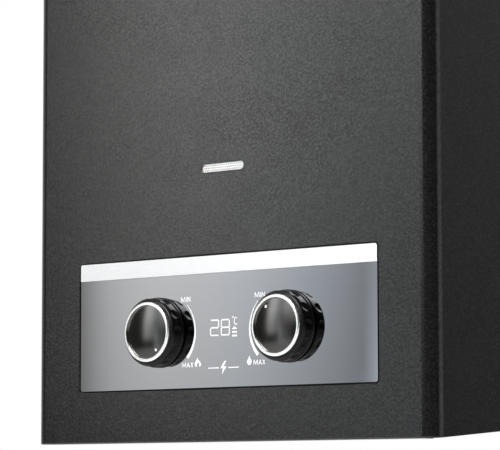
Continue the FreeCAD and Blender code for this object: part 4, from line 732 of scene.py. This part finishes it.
def world_light():
    """White to the camera. Gloss sees a smooth studio with a bright side, and the rest a low even fill."""
    world = bpy.data.worlds.new("studio")
    world.use_nodes = True
    scene.world = world
    tree = world.node_tree
    tree.nodes.clear()
    path = add(tree, "ShaderNodeLightPath")
    coord = add(tree, "ShaderNodeTexCoord")
    facing = add(tree, "ShaderNodeVectorMath", operation="DOT_PRODUCT")
    facing.inputs[1].default_value = BRIGHT_SIDE
    tree.links.new(coord.outputs["Generated"], facing.inputs[0])
    studio = vary(tree, facing.outputs["Value"], DIM_STUDIO, 1.0, fac_low=0.05, fac_high=0.85)
    studio.node.interpolation_type = "SMOOTHSTEP"
    mirrored = maths(tree, "MAXIMUM", path.outputs["Is Glossy Ray"], path.outputs["Is Transmission Ray"])
    level = blend(tree, mirrored, DIFFUSE_FILL, studio)
    shown = blend(tree, path.outputs["Is Camera Ray"], level, 1.0)
    back = add(tree, "ShaderNodeBackground", Color=(1, 1, 1, 1))
    tree.links.new(shown, back.inputs["Strength"])
    out = add(tree, "ShaderNodeOutputWorld")
    tree.links.new(back.outputs[0], out.inputs["Surface"])


# ---------------------------------------------------------------- lamps
AIM = Vector((0, -0.13, -0.40))    # near the middle of the panel
STUDIO_DISTANCE = 2.3              # of the lamps in front
TINT = 0.06                        # how far a cold lamp turns from grey


def area_light(name, place, target, width, height, power):
    data = bpy.data.lights.new(name, "AREA")
    data.shape = "RECTANGLE"
    data.size = width
    data.size_y = height
    data.energy = power
    obj = bpy.data.objects.new(name, data)
    obj.location = place
    obj.rotation_mode = "QUATERNION"
    obj.rotation_quaternion = (Vector(target) - Vector(place)).to_track_quat("-Z", "Y")
    scene.collection.objects.link(obj)
    return obj


def standing_lamp(name, bearing, distance, rise, width, height, power):
    """Upright lamp, that many degrees left of straight ahead and that high above the aim."""
    a = math.radians(bearing)
    target = AIM + Vector((0, 0, rise))
    place = target + Vector((-distance * math.sin(a), -distance * math.cos(a), 0))
    return area_light(name, place, target, width, height, power)


def tinted(level, cold):
    """Grey of one level, turned towards blue by a share from 0 to 1."""
    return level * (1 - TINT * cold), level, level * (1 + TINT * cold)


def shade_lamp(lamp, across, rising):
    """Gives a lamp its level and coldness from side to side and its strength from the lower end up."""
    lamp.data.use_nodes = True
    tree = lamp.data.node_tree
    emission = next(n for n in tree.nodes if n.type == "EMISSION")
    place = add(tree, "ShaderNodeNewGeometry")
    split = add(tree, "ShaderNodeSeparateXYZ")
    tree.links.new(place.outputs["Parametric"], split.inputs["Vector"])
    colour = ramp(tree, split.outputs["X"], [(x, tinted(level, cold)) for x, level, cold in across])
    tree.links.new(colour, emission.inputs["Color"])
    strength = ramp(tree, split.outputs["Y"], [(y, (level,) * 3) for y, level in rising])
    tree.links.new(strength, emission.inputs["Strength"])


def key_lamp():
    """Soft lamp high in front, for the white print and the general light."""
    area_light("key", (-0.25, -2.3, 1.35), AIM, width=1.3, height=1.3, power=75)


def strip_lamp():
    """Tall lamp that the panel mirrors; its levels from side to side draw the panel's gradient."""
    lamp = standing_lamp("strip", 40.9, STUDIO_DISTANCE, rise=0.7, width=1.0, height=1.6, power=20.2)
    dark_to_full = [
        (0.285, 0.0, 0), (0.309, 0.36, 0), (0.334, 0.67, 0), (0.3515, 0.81, 0), (0.375, 0.91, 0),
        (0.41, 0.985, 0), (0.434, 1.0, 0),
    ]
    full_to_dark = [
        (0.4985, 0.965, 0.2), (0.5515, 0.88, 0.6), (0.64, 0.62, 1), (0.6925, 0.45, 1),
        (0.712, 0.36, 1), (0.73, 0.40, 1), (0.76, 0.40, 1), (0.82, 0.0, 1),
    ]
    rising = [(0.0, 0.0), (0.03, 0.13), (0.09, 0.38), (0.19, 0.47), (0.27, 0.60), (0.375, 0.80), (1.0, 0.84)]
    shade_lamp(lamp, dark_to_full + full_to_dark, rising)


def front_wing():
    """Lamp beside the strip, for the coat's right part and the start of the bend."""
    lamp = standing_lamp("front_wing", 21.4, STUDIO_DISTANCE, rise=0.8, width=1.08, height=1.4, power=10.5)
    across = [(0.0, 0.0, 0.5), (0.14, 1.0, 0.4), (1.0, 0.9, 0)]
    rising = [(0.0, 0.0), (0.14, 0.32), (0.4, 1.0)]
    shade_lamp(lamp, across, rising)


def low_fill():
    """Small low lamp that brightens the panel's lower right corner."""
    lamp = standing_lamp("low_fill", 28.9, STUDIO_DISTANCE, rise=0.05, width=0.54, height=0.6, power=1.2)
    across = [(0.0, 0.1, 1), (0.05, 1.0, 1), (0.4, 0.35, 1), (1.0, 0.0, 1)]
    rising = [(0.0, 1.0), (0.45, 1.0), (0.75, 0.35), (1.0, 0.0)]
    shade_lamp(lamp, across, rising)


def rim_lamp():
    """Lamp behind on the right, for the soft line along the bend."""
    standing_lamp("rim", -116, 2.0, rise=0.6, width=1.1, height=2.0, power=5.0)


stage_floor()
world_light()
key_lamp()
strip_lamp()
front_wing()
low_fill()
rim_lamp()
